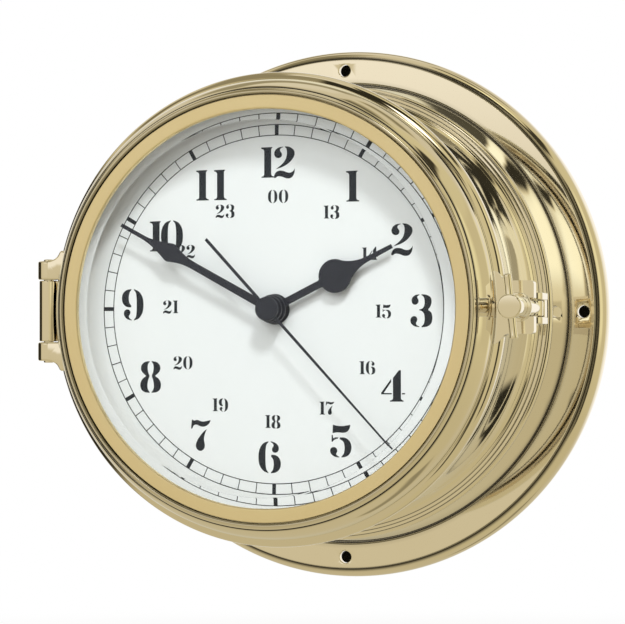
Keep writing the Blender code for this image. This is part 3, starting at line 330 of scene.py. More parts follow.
def bezel_section():
    """Front bead, swept face r = 82.8 + 4 s + 0.9 sin(pi s), groove, rim bead, rebate and bore."""
    share = np.linspace(0.06, 0.94, 16)
    sweep = np.stack([82.8 + 4 * share + 0.9 * np.sin(math.pi * share), 115.2 - 10.6 * share], 1)
    crown = rounded([(80.2, 114.6, 0.1), (80.2, 116.3, 0.6), (80.9, 117.0, 0.6), (81.75, 116.75, 0.6),
                     (82.45, 115.9, 0.5), (82.6, 115.05, 0.15), (82.95, 115.0, 0.15)], False)
    bead = rounded([(86.75, 104.9, 0.3), (86.45, 104.35, 0.25), (86.85, 103.6, 0.3), (88.2, 103.1, SOFT),
                    (89.55, 102.2, SOFT), (90.0, 100.5, SOFT), (89.9, 98.9, SOFT), (89.2, 97.7, SOFT),
                    (88.2, 97.3, 0.3), (86.4, 97.3, 0.2), (86.4, 102.0, 0.2), (82.3, 102.0, 0.2),
                    (82.3, 114.6, 0.1)], False)
    return along(crown, sweep, bead)


def clear_of_hinge(points):
    """Points in the room of the case's barrel are pushed out to its radius from the hinge's axis."""
    offset = points[:, :2] - HINGE[:2]
    distance = np.linalg.norm(offset, axis=1)
    inside = (np.abs(points[:, 2]) < BARREL_ROOM_Z) & (distance < BARREL_ROOM_R)
    moved = points.copy()
    moved[inside, :2] = HINGE[:2] + offset[inside] * (BARREL_ROOM_R / distance[inside])[:, None]
    return moved


def hinge_lug(side):
    """The bezel's half of the hinge: a knuckle with eased ends and a web that flares into the rim."""
    web = [(HINGE[0], BARREL_ROOM_Z, 0), (-87.3, BARREL_ROOM_Z, 0.4), (-84.5, 22.6, 0.4),
           (-87.2, 23.6, 1.2), (-88.7, 20.6, 1.6), (-91.4, 19.5, 0.8), (HINGE[0], KNUCKLE_END_Z, 0)]
    outline = rounded([(x, side * z, reach) for x, z, reach in web], True, 4)
    low, high = sorted((side * BARREL_ROOM_Z, side * KNUCKLE_END_Z))
    knuckle = rounded([(2.2, low, 0.2), (4.1, low, 0.9), (4.1, high, 0.9), (2.2, high, 0.2)])
    return [slab(outline, 95.5, 103.3, 0.7, CENTRE, FACING, 4), turned(knuckle, 72, HINGE, UPRIGHT)]


def fork():
    """The forked lug, a strip on each side of its slot. At distance x it spans from s(x) to h(x) across.

    s = sqrt(3.4^2 - (x - 95.3)^2) round the slot's end, and h falls from the root to the straight side.
    Its front is crowned round the latch pin: d = 80 + sqrt(23.8^2 - (x - 95.3)^2) past the bolt.
    """
    slot_r, crown_r, back = 3.4, 23.8, 99.3
    corner_x, corner_r = 99.6, 1.4
    quarter = np.linspace(0, math.pi / 2, 13)
    x = np.concatenate([np.linspace(84.6, 91.6, 16), BOLT_X - slot_r * np.cos(quarter),
                        np.linspace(96, 99.4, 5), corner_x + corner_r * np.sin(quarter)])
    share = np.clip((x - 86.4) / 4.6, 0, 1)
    half = 9.8 + 3.6 * (1 - share * share * (3 - 2 * share))
    half -= corner_r - np.sqrt(np.maximum(corner_r ** 2 - np.maximum(x - corner_x, 0) ** 2, 0))
    slot = np.sqrt(np.maximum(slot_r ** 2 - np.minimum(x - BOLT_X, 0) ** 2, 0))
    slot = np.where(x < BOLT_X - slot_r + 1e-6, 0, slot)
    slot_starts = int(np.argmax(slot > 0)) - 1
    front = LATCH_PIN_D + np.sqrt(crown_r ** 2 - np.maximum(x - BOLT_X, 0) ** 2)
    across = np.linspace(0, 1, 9)
    parts = []
    for side in (1, -1):
        z = side * (slot[:, None] + (half - slot)[:, None] * across)
        sheets = np.stack([np.stack(np.broadcast_arrays(x[:, None], -depth[:, None], z), -1)
                           for depth in (front, np.full_like(x, back))])
        walls = [sheets[:, slot_starts:, 0], sheets[:, :, -1], sheets[:, 0], sheets[:, -1]]
        for surface in (*sheets, *walls):
            parts.append((surface.reshape(-1, 3), quilt(*surface.shape[:2], False, False)))
    return parts


# Glass and the ring in front of it

def lip_section():
    """A satin ring: an eased bore, a slightly coned face and a flange behind the bezel's shoulder."""
    return rounded([(74.7, 114.0, 0.1), (74.7, 116.1, 0.35), (75.2, 116.38, 0.3), (79.9, 116.05, 0.15),
                    (79.9, 114.3, 0.1), (82.0, 114.3, 0.1), (82.0, 113.15, 0.1), (76.5, 113.15, 0.1)])


def glass_section():
    """A flat disc whose front falls away in a 29 degree bevel to a narrow land at its edge."""
    return rounded([(0, 110.9, 0), (80.4, 110.9, 0.2), (80.4, 112.85, 0.2), (76.2, 112.85, 0.15),
                    (70.7, 115.9, 0.2), (60.0, 115.9, 0), (0, 115.9, 0)], False, 4)


# Latch

def seat_on_waist(points):
    """Points of the bracket that would enter the waist are moved out along X to lie on it.

    x = sqrt(r^2 - z^2), with r a hair under the case's radius at the point's depth.
    """
    radius = waist_radius(-points[:, 1], WAIST_R - 0.04)
    moved = points.copy()
    moved[:, 0] = np.maximum(points[:, 0], np.sqrt(radius ** 2 - points[:, 2] ** 2))
    return moved


def bracket_parts():
    """Two cheeks with round ends on a web that closes the slot behind the bolt's eye."""
    turn = np.linspace(0, math.pi / 2, 10)
    nose = [(BOLT_X + 3.6 * math.cos(a), -LATCH_PIN_D - 3.6 * math.sin(a), 0.2) for a in turn]
    stop = [(98.6, -71.5, 0.8), (98.6, -76.1, 0.4), (91.4, -76.1, 0.4), (91.4, -83.6, 0.4)]
    root, foot = [(82.2, -70, 0.3), (97.4, -70, 1.2)], [(89.3, -86.0, 0.6), (84.6, -86.0, 0.3)]
    cheek = rounded(root + [(98.9, -71.5, 1.2)] + nose + [(91.3, -83.6, 0.6)] + foot, True, 4)
    web = rounded(root + stop + foot, True, 4)
    plates = [(cheek, 3.2, 5.9, 0.3), (cheek, -5.9, -3.2, 0.3), (web, -3.3, 3.3, 0.05)]
    parts = []
    for outline, low, high, edge in plates:
        points, faces = slab(outline, low, high, edge, CENTRE, UPRIGHT)
        parts.append((seat_on_waist(points), faces))
    return parts


def bolt_parts():
    """An eye round the latch pin and a shank, screw-cut near its end.

    The thread's radius is 2.72 + 0.26 w, with w a triangle wave of height / pitch - angle / turn.
    """
    eye = rounded([(1.7, -2.9, 0.15), (3.6, -2.9, 0.35), (3.6, 2.9, 0.35), (1.7, 2.9, 0.15)])
    plain = rounded([(0, 81.6, 0), (3.0, 81.6, 0.2), (3.0, 102.6, 0.2), (2.4, 103.0, 0), (0, 103.0, 0)],
                    False)
    steps = 48
    height = np.linspace(102.8, 116.3, 190)
    wave = np.abs(((height[:, None] / THREAD_PITCH - np.arange(steps) / steps) % 1) * 2 - 1)
    crest = 2.72 + 0.26 * wave - np.clip((height[:, None] - 115.6) / 0.7, 0, 1) * 0.6
    thread = along([(0.0, height[0])], np.stack([0 * height + 1, height], 1), [(0.0, height[-1])])
    ripple = np.concatenate([np.zeros((1, steps)), crest - 1, np.zeros((1, steps))])
    return [turned(eye, 56, (BOLT_X, -LATCH_PIN_D, 0), UPRIGHT), turned(plain, 56, (BOLT_X, 0, 0)),
            turned(thread, steps, (BOLT_X, 0, 0), FACING, ripple)]


def nut_section():
    """A long collar, a flange, a round head with an eased rim, and a closed crown."""
    return rounded([(3.3, 105.8, 0.1), (4.0, 105.8, 0.3), (4.0, 112.5, 0.3), (4.5, 113.1, 0.25),
                    (4.5, 117.2, 0.4), (4.1, 117.6, 0.4), (0, 117.6, 0), (0, 116.6, 0),
                    (3.3, 116.6, 0)], True)


def bar_frame(side):
    """The directions of a thumb bar, which leans 6 degrees with its top towards the dial."""
    lean = math.radians(6)
    out = np.array([-math.sin(lean), 0, math.cos(lean)]) * side
    across = np.array([math.cos(lean), 0, math.sin(lean)])
    return np.stack([across, np.cross(out, across), out])


def bar_section():
    """A round bar with a shallow waist and a domed tip: r = 1.5 + 0.1 (2 s - 1)^2 along its length s."""
    share = np.linspace(0, 1, 10)
    body = np.stack([1.5 + 0.1 * (2 * share - 1) ** 2, 4.1 + 7.2 * share], 1)
    tip = np.linspace(0.15, math.pi / 2, 7)
    dome = np.stack([1.6 * np.cos(tip), 11.3 + 0.7 * np.sin(tip)], 1)
    dome[-1, 0] = 0
    return along([(0, 4.0), (1.45, 4.0)], body, dome)


# Screws and small turned pieces

def slotted_screw(at, axes, head, shank, under, top, tip):
    """A shank and the lower head turned in one, and two half discs that leave the driver's slot between.

    The slot takes 0.45 of the head's height and 0.13 of its width. Under, top and tip are heights.
    """
    floor = top - 0.45 * (top - under)
    taper = tip + np.sign(under - tip) * shank * 0.5
    body = rounded([(0, tip, 0), (shank * 0.6, tip, 0.1), (shank, taper, 0.1), (shank, under, 0.05),
                    (head, under, 0.12), (head, floor, 0), (0, floor, 0)], False, 4)
    parts = [turned(body, 40, at, axes)]
    low, high = sorted((floor, top))
    half_slot = head * 0.13
    start = math.asin(half_slot / head)
    turn = np.linspace(start, math.pi - start, 24)
    for side in (1, -1):
        outline = np.stack([head * np.cos(turn), side * head * np.sin(turn)], 1)
        parts.append(slab(outline, low - 0.02, high, min(0.25, (high - low) * 0.6), at, axes))
    return parts


def washer(inner, outer, low, high, steps, at=CENTRE, edge=0.15):
    """A flat ring with eased edges."""
    section = [(inner, low, edge), (outer, low, edge), (outer, high, edge), (inner, high, edge)]
    return turned(rounded(section), steps, at)


def rod(radius, low, high, edge, steps, at, axes=FACING):
    """A round bar with eased ends."""
    section = [(0, low, 0), (radius, low, edge), (radius, high, edge), (0, high, 0)]
    return turned(rounded(section, False), steps, at, axes)


def arbor(radius, low, high, at=CENTRE):
    """A wheel's plain round axle."""
    return turned([(0, low), (radius, low), (radius, high), (0, high)], 24, at)


def toothed(teeth, tip, depth, low, high, at=CENTRE, bore=0.0):
    """A wheel whose rim is r = tip - depth (1 - tanh(k cos(n a)) / tanh(k)) / 2, for n teeth.

    A larger k makes the flanks steeper. A tooth has 8 points.
    """
    steep, steps = 2.2, teeth * 8
    angle = np.arange(steps) * math.tau / steps
    rim = -depth * (0.5 - 0.5 * np.tanh(steep * np.cos(teeth * angle)) / math.tanh(steep))
    section = rounded([(bore, low, 0), (tip, low, 0.06), (tip, high, 0.06), (bore, high, 0)])
    share = np.clip((section[:, :1] - bore) / max(tip - bore, 1e-6), 0, 1)
    return turned(section, steps, at, FACING, np.where(share > 0.8, rim[None] * share, 0))


# Hands

def clockwise(turn):
    """The directions right, up and out of the dial, turned clockwise as seen from the front."""
    cosine, sine = math.cos(turn), math.sin(turn)
    return np.array([[cosine, 0, -sine], [sine, 0, cosine], [0, -1.0, 0]])


def hand(side_points, low, thick, angle, hub, bore, hub_high):
    """A flat hand drawn upright from one side's (x, y, reach) corners, mirrored, then turned clockwise.

    Its hub is a low disc with an eased rim round the bore.
    """
    left = [(-x, y, reach) for x, y, reach in reversed(side_points) if x > 1e-9]
    outline = rounded(side_points + left, True, 5, 0.1)
    disc = rounded([(bore, low, 0), (hub, low, 0.1), (hub, hub_high, 0.35), (bore, hub_high, 0.1)])
    arm = slab(outline, low, low + thick, 0.14, CENTRE, clockwise(math.radians(angle)))
    return [arm, turned(disc, 72)]


def hour_hand():
    """A plain arm, a round bulb, and a flank that runs out into the tip: x = a + (b - a) (1 - s)^2.2."""
    turn = np.linspace(math.radians(-77), math.radians(52), 12)
    bulb = [(6.4 * math.cos(a), 27.7 + 6.4 * math.sin(a), 0.6) for a in turn]
    x, y, _ = bulb[-1]
    flank = [(0.95 + (x - 0.95) * (1 - s) ** 2.2, y + 9.5 * s, 1.0) for s in (0.15, 0.35, 0.6, 0.85)]
    side = [(1.4, 0, 0), (1.4, 20.6, 0.3)] + bulb + flank + [(0.95, y + 10.5, 1.0), (0.8, 52.5, 0)]
    return hand(side, 102.0, 0.7, 63.9, 5.5, 3.0, 103.0)


def minute_hand():
    """A long arm that flares into a spade and runs out to a thin tip."""
    side = [(1.55, 0, 0), (1.4, 35.6, 2.0), (1.7, 39.5, SOFT), (2.8, 43.0, SOFT), (3.8, 45.6, 0.9),
            (2.6, 48.8, 1.5), (1.3, 53.4, 2.0), (0.8, 56.6, 2.0), (0.7, 68.3, 0)]
    return hand(side, 105.0, 0.7, 298.5, 5.0, 2.05, 106.0)


def second_hand():
    """A thin sweep hand with a round cap: the cap's rim is eased and its face slightly domed."""
    parts = hand([(0.6, -36.2, 0), (0.6, 0, 0), (0.32, 69.8, 0)], 107.6, 0.5, 137.1, 1.6, 0.9, 108.2)[:1]
    share = np.linspace(0, 1, 9)
    face = np.stack([4.0 * (1 - share), 109.32 + 0.18 * (1 - (1 - share) ** 2)], 1)
    rim = rounded([(0, 107.6, 0), (4.3, 107.6, 0.2), (4.6, 108.0, 0.2), (4.6, 108.9, 0.4),
                   (4.3, 109.25, 0.3), (4.0, 109.32, 0)], False)
    parts.append(turned(along(rim, face[1:]), 72))
    return parts


# Printing on the dial: each outline is a closed run of (x, y, reach) corners, with (0, 0) at the
# numeral's own middle, in units of which a numeral is 117 high

NUMERAL_UNITS = 117
ARC_HALF = [(-5, 63, 0), (-26, 57, 30), (-42, 34, 30), (-46, 3, 30), (-42, -28, 30), (-26, -50, 30),
            (-5, -58, 0), (-5, -55, 0), (-14, -44, 30), (-17, -20, 30), (-17, 26, 30), (-14, 50, 30),
            (-5, 60, 0)]
SIX = [ARC_HALF,
       [(4, 63, 0), (24, 58, 30), (36, 44, 30), (37, 30, 30), (28, 20, 30), (16, 20, 30), (9, 28, 30),
        (10, 38, 30), (17, 46, 30), (13, 55, 30), (4, 60, 0)],
       [(6, 12, 0), (24, 12, 30), (40, 0, 30), (46, -22, 30), (40, -44, 30), (24, -56, 30), (5, -58, 0),
        (5, -54, 0), (13, -46, 30), (17, -24, 30), (14, -4, 30), (6, 5, 0)]]
EIGHT_HALF = [(-4, 61, 0), (-26, 58, 30), (-40, 44, 30), (-40, 24, 30), (-26, 10, 30), (-17, 4, 6),
              (-34, -6, 30), (-44, -26, 30), (-40, -48, 30), (-26, -59, 30), (-4, -61, 0), (-4, -58, 0),
              (-12, -48, 30), (-14, -30, 30), (-10, -10, 30), (-5, 1, 0), (-5, 7, 0), (-10, 16, 30),
              (-13, 36, 30), (-11, 50, 30), (-4, 58, 0)]


def mirrored(outline):
    """The other half of a numeral that is alike on both sides."""
    return [(-x, y, reach) for x, y, reach in outline]


def half_turned(outlines):
    """A 9 from a 6: each outline turned half round about (0, 1.5)."""
    return [[(-x, 3 - y, reach) for x, y, reach in outline] for outline in outlines]


NUMERALS = {
    "0": [ARC_HALF, mirrored(ARC_HALF)],
    "1": [[(-22, 60, 0), (23, 61, 0), (22, 57, 0), (18, 54, 3), (18, -44, 3), (22, -49, 0),
           (29, -51, 0), (29, -55, 0), (-21, -55, 0), (-21, -51, 0), (-13, -49, 0), (-10, -44, 3),
           (-10, 48, 3), (-15, 53, 0), (-22, 55, 0)]],
    "2": [[(-4, 61, 0), (-20, 60, 30), (-36, 50, 30), (-41, 35, 30), (-36, 22, 30), (-22, 17, 30),
           (-10, 23, 30), (-8, 35, 30), (-16, 44, 30), (-17, 51, 30), (-11, 57, 30), (-4, 59, 0)],
          [(3, 62, 0), (22, 61, 30), (42, 46, 30), (42, 26, 30), (26, 4, 30), (0, -14, 30),
           (-34, -24, 0), (-10, -7, 30), (5, 10, 30), (11, 28, 30), (11, 46, 30), (8, 56, 30),
           (3, 59, 0)],
          [(-41, -50, 0), (-35, -36, 20), (-22, -29, 30), (-4, -30, 30), (14, -38, 30), (28, -38, 20),
           (38, -30, 8), (43, -22, 0), (41, -42, 12), (30, -58, 20), (12, -61, 30), (-10, -52, 30),
           (-26, -50, 20), (-34, -57, 6), (-40, -57, 0)]],
    "3": [[(-5, 62, 0), (-22, 60, 30), (-34, 49, 30), (-36, 35, 30), (-29, 24, 30), (-18, 23, 30),
           (-9, 30, 30), (-8, 42, 30), (-14, 50, 30), (-12, 56, 30), (-5, 59, 0)],
          [(3, 62, 0), (22, 61, 30), (40, 51, 30), (43, 34, 30), (38, 16, 30), (27, 4, 5), (41, -4, 30),
           (46, -25, 30), (42, -47, 30), (26, -59, 30), (3, -61, 0), (3, -57, 0), (12, -50, 30),
           (16, -30, 30), (13, -9, 30), (4, 0, 20), (-5, 2, 0), (-5, 6, 0), (6, 8, 20), (14, 18, 30),
           (16, 36, 30), (12, 53, 30), (3, 59, 0)],
          [(-6, -60, 0), (-24, -58, 30), (-38, -47, 30), (-41, -34, 30), (-36, -22, 30), (-24, -18, 30),
           (-14, -24, 30), (-13, -36, 30), (-20, -45, 30), (-15, -54, 30), (-6, -57, 0)]],
    "4": [[(20, 66, 0), (28, 66, 0), (28, -41, 3), (32, -45, 0), (38, -47, 0), (38, -51, 0),
           (-15, -51, 0), (-15, -47, 0), (-7, -45, 0), (-3, -41, 3), (-3, 37, 0)],
          [(-10, 34, 0), (-49, -18, 0), (-49, -24, 0), (-8, -24, 0), (-8, -19, 0), (-39, -19, 0),
           (-10, 22, 0)],
          [(32, -19, 0), (44, -19, 0), (44, -24, 0), (32, -24, 0)]],
    "5": [[(-31, 61, 0), (-16, 57, 20), (6, 55, 30), (38, 61, 0), (35, 45, 12), (24, 33, 20),
           (8, 30, 30), (-14, 33, 20), (-32, 29, 0)],
          [(-36, 22, 0), (-31, 22, 0), (-30, 9, 4), (-22, 14, 8), (-9, 13, 0), (-12, 8, 6), (-24, 6, 10),
           (-32, -3, 0), (-36, -3, 0)],
          [(-4, 13, 0), (17, 14, 30), (37, 0, 30), (44, -24, 30), (37, -48, 30), (22, -60, 30),
           (3, -62, 0), (3, -58, 0), (13, -48, 30), (16, -24, 30), (12, -2, 30), (-4, 7, 0)],
          [(-6, -62, 0), (-24, -60, 30), (-39, -49, 30), (-43, -36, 30), (-38, -25, 30), (-26, -22, 30),
           (-15, -28, 30), (-13, -40, 30), (-19, -48, 30), (-15, -55, 30), (-6, -59, 0)]],
    "6": SIX,
    "7": [[(-36, 62, 0), (-32, 62, 0), (-27, 58, 8), (-14, 62, 20), (6, 54, 30), (24, 57, 20),
           (41, 61, 0), (35, 47, 15), (20, 36, 20), (2, 35, 30), (-16, 44, 20), (-28, 42, 10),
           (-34, 28, 0), (-39, 28, 0)],
          [(25, 26, 0), (17, 8, 30), (12, -12, 30), (18, -34, 30), (14, -51, 30), (-1, -59, 30),
           (-16, -51, 30), (-21, -36, 30), (-14, -16, 30), (2, 6, 30), (14, 19, 30)]],
    "8": [EIGHT_HALF, mirrored(EIGHT_HALF)],
    "9": half_turned(SIX),
}
# Half of each digit's width, the middle of each hour's number, and where its two digits stand
HALF_WIDTH = {"0": 46, "1": 25, "2": 42, "3": 43, "4": 46, "5": 42, "6": 45, "7": 39, "8": 43, "9": 45}
HOURS = {"12": (0.56, 55.43), "1": (30.33, 45.69), "2": (49.84, 25.48), "3": (57.15, -1.06),
         "4": (46.63, -29.7), "5": (25.86, -49.6), "6": (-2.35, -56.24), "7": (-30.21, -48.12),
         "8": (-50.71, -25.62), "9": (-58.15, 2.11), "10": (-44.93, 28.11), "11": (-26.1, 47.29)}
LARGE_PAIRS = {"12": (-40, 30), "10": (-39, 30), "11": (-37, 36)}


def numeral_parts(text, x, z, height, offsets=None):
    """A number as thin plates on the dial, digit by digit, with its middle at x and z."""
    scale = height / NUMERAL_UNITS
    if offsets is None:
        widths = [HALF_WIDTH[digit] for digit in text]
        offsets = [0] if len(text) == 1 else [-widths[1] - 6, widths[0] + 6]
    parts = []
    for digit, offset in zip(text, offsets):
        for corners in NUMERALS[digit]:
            outline = rounded(corners, True, 5, 0.0) * scale + [x + offset * scale, z]
            parts.append(slab(outline, *INK_D, 0.01, steps=1))
    return parts


def dial_printing():
    """Twelve large numerals, the small 24 hour ring inside them, and the minute track."""
    large, small, small_ring_r = 11.7, 4.9, 42.6
    track, hairline, bar = (66.0, 70.0), 0.17, 0.75
    parts = []
    for text, (x, z) in HOURS.items():
        parts += numeral_parts(text, x, z, large, LARGE_PAIRS.get(text))
    for number in range(12):
        turn = math.radians(30 * number + 1.5)
        text = f"{number + 12:02d}" if number else "00"
        parts += numeral_parts(text, small_ring_r * math.sin(turn), small_ring_r * math.cos(turn), small)
    for radius in track:
        parts.append(washer(radius - hairline, radius + hairline, *INK_D, 240, edge=0.005))
    for minute in range(60):
        half = hairline if minute % 5 else bar
        low, high = track[0] - 0.05, track[1] + 0.05
        outline = [(-half, low), (half, low), (half, high), (-half, high)]
        parts.append(slab(outline, *TICK_D, 0.01, CENTRE, clockwise(math.radians(6 * minute + 0.5)), 1))
    return parts


# Movement

def battery_section():
    """A dry cell: turned-over rims, a flat base and a stepped nub."""
    return rounded([(0, -25.25, 0), (3.8, -25.25, 0.2), (4.1, -25.05, 0.2), (6.1, -25.05, 0.2),
                    (6.4, -25.25, 0.2), (6.9, -25.1, 0.2), (7.1, -24.6, 0.3), (7.1, 23.3, 0.4),
                    (6.6, 23.9, 0.3), (5.9, 23.6, 0.3), (3.2, 23.6, 0.3), (2.7, 24.0, 0.2),
                    (2.7, 25.1, 0.2), (0, 25.25, 0)], False)


def knob_parts(at):
    """The setting knob: r = 6 - 0.25 (1 - cos(30 a)) / 2 round its grip, with a dished face."""
    section = rounded([(0, 76.1, 0), (3.4, 76.1, 0.6), (4.0, 75.8, 0.3), (5.2, 75.8, 0.4),
                       (5.9, 76.5, 0.3), (6.0, 80.0, 0.2), (5.0, 80.2, 0.1), (0.8, 80.2, 0.1),
                       (0.8, 77.7, 0.1), (0, 77.7, 0)], False)
    steps = 240
    grip = -0.25 * (0.5 - 0.5 * np.cos(30 * (np.arange(steps) * math.tau / steps)))
    return [turned(section, steps, at, FACING, np.where(section[:, :1] > 5.3, grip[None], 0))]


def coil_parts(at):
    """Windings round the core, r = 2.8 + 0.14 |sin(pi x / 0.4)| along X, between two flat cheeks."""
    core_r, cheek_r, half, thick = 1.4, 3.0, 7.4, 0.6
    x = np.linspace(-half, half, 320)
    wound = np.stack([2.8 + 0.14 * np.abs(np.sin(x * math.pi / 0.4)), x], 1)
    section = along([(core_r, -half)], wound, [(core_r, half)])
    cheeks = []
    for low in (-half - thick, half):
        high = low + thick
        corners = [(core_r, low, 0), (cheek_r, low, 0.1), (cheek_r, high, 0.1), (core_r, high, 0)]
        cheeks.append(turned(rounded(corners), 40, at, SIDEWAYS))
    return [turned(section, 48, at, SIDEWAYS)], cheeks


# Materials

class Value:
    """A socket with arithmetic: an expression on values adds the Math nodes that work it out."""

    def __init__(self, finish, socket):
        self.finish, self.socket = finish, socket

    def math(self, operation, *others):
        """The outcome of one Math node on this value and the others, in that order."""
        terms = dict(enumerate((self, *others)))
        return self.finish.node("ShaderNodeMath", {"operation": operation}, terms)[0]

    def __add__(self, other):
        return self.math("ADD", other)

    def __sub__(self, other):
        return self.math("SUBTRACT", other)

    def __rsub__(self, other):
        return self.finish.node("ShaderNodeMath", {"operation": "SUBTRACT"}, {0: other, 1: self})[0]

    def __mul__(self, other):
        return self.math("MULTIPLY", other)

    def __truediv__(self, other):
        return self.math("DIVIDE", other)

    def __pow__(self, other):
        return self.math("POWER", other)

    __radd__ = __add__
    __rmul__ = __mul__


class Finish:
    """The nodes of a material, or of the world."""

    def __init__(self, name, tree=None):
        self.material = None
        if tree is None:
            self.material = bpy.data.materials.new(name)
            self.material.use_nodes = True
            tree = self.material.node_tree
        self.tree = tree
        self.tree.nodes.clear()

    def node(self, kind, settings=None, sockets=None):
        """Adds a node of any type: its settings first, then the values or links of its sockets."""
        made = self.tree.nodes.new(kind)
        for key, value in (settings or {}).items():
            if key == "stops":
                ramp = made.color_ramp
                while len(ramp.elements) < len(value):
                    ramp.elements.new(1.0)
                for element, (place, colour) in zip(ramp.elements, value):
                    element.position, element.color = place, (*colour, 1.0)
            elif key == "between_stops":
                made.color_ramp.interpolation = value
            else:
                setattr(made, key, value)
        for key, value in (sockets or {}).items():
            target = made.inputs[key]
            if isinstance(value, Value):
                self.tree.links.new(value.socket, target)
            elif target.type == "RGBA":
                target.default_value = (*value, 1.0)
            else:
                target.default_value = value
        return Outputs(self, made.outputs)

    def place(self, scale=1.0):
        """Object coordinates in metres times a scale."""
        source = self.node("ShaderNodeTexCoord")["Object"]
        return self.node("ShaderNodeVectorMath", {"operation": "SCALE"}, {0: source, "Scale": scale})[0]

    def parted(self, vector=None):
        """The X, Y and Z of a vector, which is the object coordinates if none is given."""
        return self.node("ShaderNodeSeparateXYZ", {}, {"Vector": vector or self.place()})

    def noise(self, scale, detail, place=None):
        """Soft noise from 0 to 1, with as many finer layers as detail says."""
        return self.node("ShaderNodeTexNoise", {}, {"Vector": place or self.place(), "Scale": scale,
                                                    "Detail": detail})[0]

    def step(self, value, start, end, low=0.0, high=1.0):
        """From low to high on an S curve while the value goes from start to end."""
        sockets = {"Value": value, "From Min": start, "From Max": end, "To Min": low, "To Max": high}
        return self.node("ShaderNodeMapRange", {"interpolation_type": "SMOOTHSTEP"}, sockets)[0]

    def mix(self, factor, first, second):
        """The first colour where the factor is 0, and the second where it is 1."""
        return self.node("ShaderNodeMix", {"data_type": "RGBA"}, {0: factor, 6: first, 7: second})[2]

    def bump(self, height, distance, strength):
        """A normal for a relief whose height from 0 to 1 stands for a distance in metres."""
        sockets = {"Height": height, "Distance": distance, "Strength": strength}
        return self.node("ShaderNodeBump", {}, sockets)[0]

    def either(self, factor, first, second):
        """The first shader where the factor is 0, and the second where it is 1."""
        return self.node("ShaderNodeMixShader", {}, {0: factor, 1: first, 2: second})[0]

    def made_of(self, shader):
        """Ends the material with a shader."""
        self.node("ShaderNodeOutputMaterial", {}, {"Surface": shader})
        return self.material

    def surface(self, **sockets):
        """Ends the material with one Principled shader."""
        named = {key.replace("_", " "): value for key, value in sockets.items()}
        return self.made_of(self.node("ShaderNodeBsdfPrincipled", {}, named)[0])


class Outputs:
    """A node's outputs, by number or by name."""

    def __init__(self, finish, sockets):
        self.finish, self.sockets = finish, sockets

    def __getitem__(self, key):
        return Value(self.finish, self.sockets[key])

    def __iter__(self):
        return (Value(self.finish, socket) for socket in self.sockets)


def spread(value, low, high):
    """A value from 0 to 1 carried to low to high."""
    return value * (high - low) + low


def polished_brass():
    """Lacquered brass, buffed: a slow drift of tone, fine wipe marks in the gloss, and painted shade at
    the creases.
    """
    make = Finish("polished_brass")
    drift = make.noise(22.0, 3.0)
    wipes = make.noise(1.0, 3.0, make.place(900.0))
    crease_shade = make.node("ShaderNodeAttribute", {"attribute_name": "crease"})["Fac"]
    unshaded_brass = make.mix(drift, (0.87, 0.745, 0.505), (0.90, 0.785, 0.545))
    # Painted shade: the brass blends to near black at the marked creases, and is rougher there too
    colour = make.mix(crease_shade, unshaded_brass, (0.012, 0.008, 0.005))
    gloss = spread(wipes, 0.02, 0.045) + crease_shade * 0.3
    return make.surface(Base_Color=colour, Metallic=1.0, Roughness=gloss)


def satin_brass():
    """Brushed brass: fine rings round the dial's axis, as a lathe and emery leave them."""
    make = Finish("satin_brass")
    x, _, z = make.parted()
    radius = (x * x + z * z) ** 0.5
    rings = make.node("ShaderNodeTexNoise", {"noise_dimensions": "1D"},
                      {"W": radius, "Scale": 5200.0, "Detail": 4.0})[0]
    drift = make.noise(30.0, 2.0)
    colour = make.mix(drift, (0.94, 0.75, 0.40), (0.98, 0.81, 0.46))
    return make.surface(Base_Color=colour, Metallic=1.0, Roughness=spread(rings, 0.36, 0.48),
                        Normal=make.bump(rings, 0.00003, 0.6))


def dial_white():
    """White enamel paint with the faintest orange peel."""
    make = Finish("dial_white")
    peel = make.noise(700.0, 2.0)
    colour = make.mix(make.noise(14.0, 2.0), (0.85, 0.865, 0.895), (0.875, 0.89, 0.915))
    return make.surface(Base_Color=colour, Roughness=spread(peel, 0.38, 0.46),
                        Normal=make.bump(peel, 0.000004, 0.4))


def printed_ink():
    """Screen-printed black, duller than the paint below it and a little uneven."""
    make = Finish("printed_ink")
    grain = make.noise(1500.0, 3.0)
    colour = make.mix(grain, (0.006, 0.008, 0.011), (0.014, 0.017, 0.021))
    return make.surface(Base_Color=colour, Roughness=spread(grain, 0.42, 0.58), Specular_IOR_Level=0.2)


def black_enamel():
    """Hands: black paint over stamped metal, a little uneven at its edges."""
    make = Finish("black_enamel")
    peel = make.noise(900.0, 2.0)
    colour = make.mix(peel, (0.008, 0.009, 0.015), (0.014, 0.015, 0.022))
    return make.surface(Base_Color=colour, Roughness=spread(peel, 0.22, 0.30),
                        Normal=make.bump(peel, 0.000004, 0.5), Specular_IOR_Level=0.3)


def rubber():
    """Dull black rubber with a fine grain from its mould."""
    make = Finish("moulded_rubber")
    grain = make.noise(1800.0, 4.0)
    return make.surface(Base_Color=make.mix(grain, (0.012, 0.012, 0.012), (0.03, 0.03, 0.03)),
                        Roughness=spread(grain, 0.7, 0.88), Normal=make.bump(grain, 0.00002, 0.6))


def moulded_plastic(name, dark, light, rough, scale=2600.0):
    """Spark-eroded moulding texture: two sizes of fine pits."""
    make = Finish(name)
    sockets = {"Vector": make.place(), "Scale": scale}
    pits = make.node("ShaderNodeTexVoronoi", {"feature": "F1"}, sockets)[0]
    grain = make.noise(scale * 0.6, 3.0)
    return make.surface(Base_Color=make.mix(grain, dark, light),
                        Roughness=spread(grain, rough - 0.08, rough + 0.08),
                        Normal=make.bump(pits * 0.6 + grain * 0.4, 0.00003, 0.5))


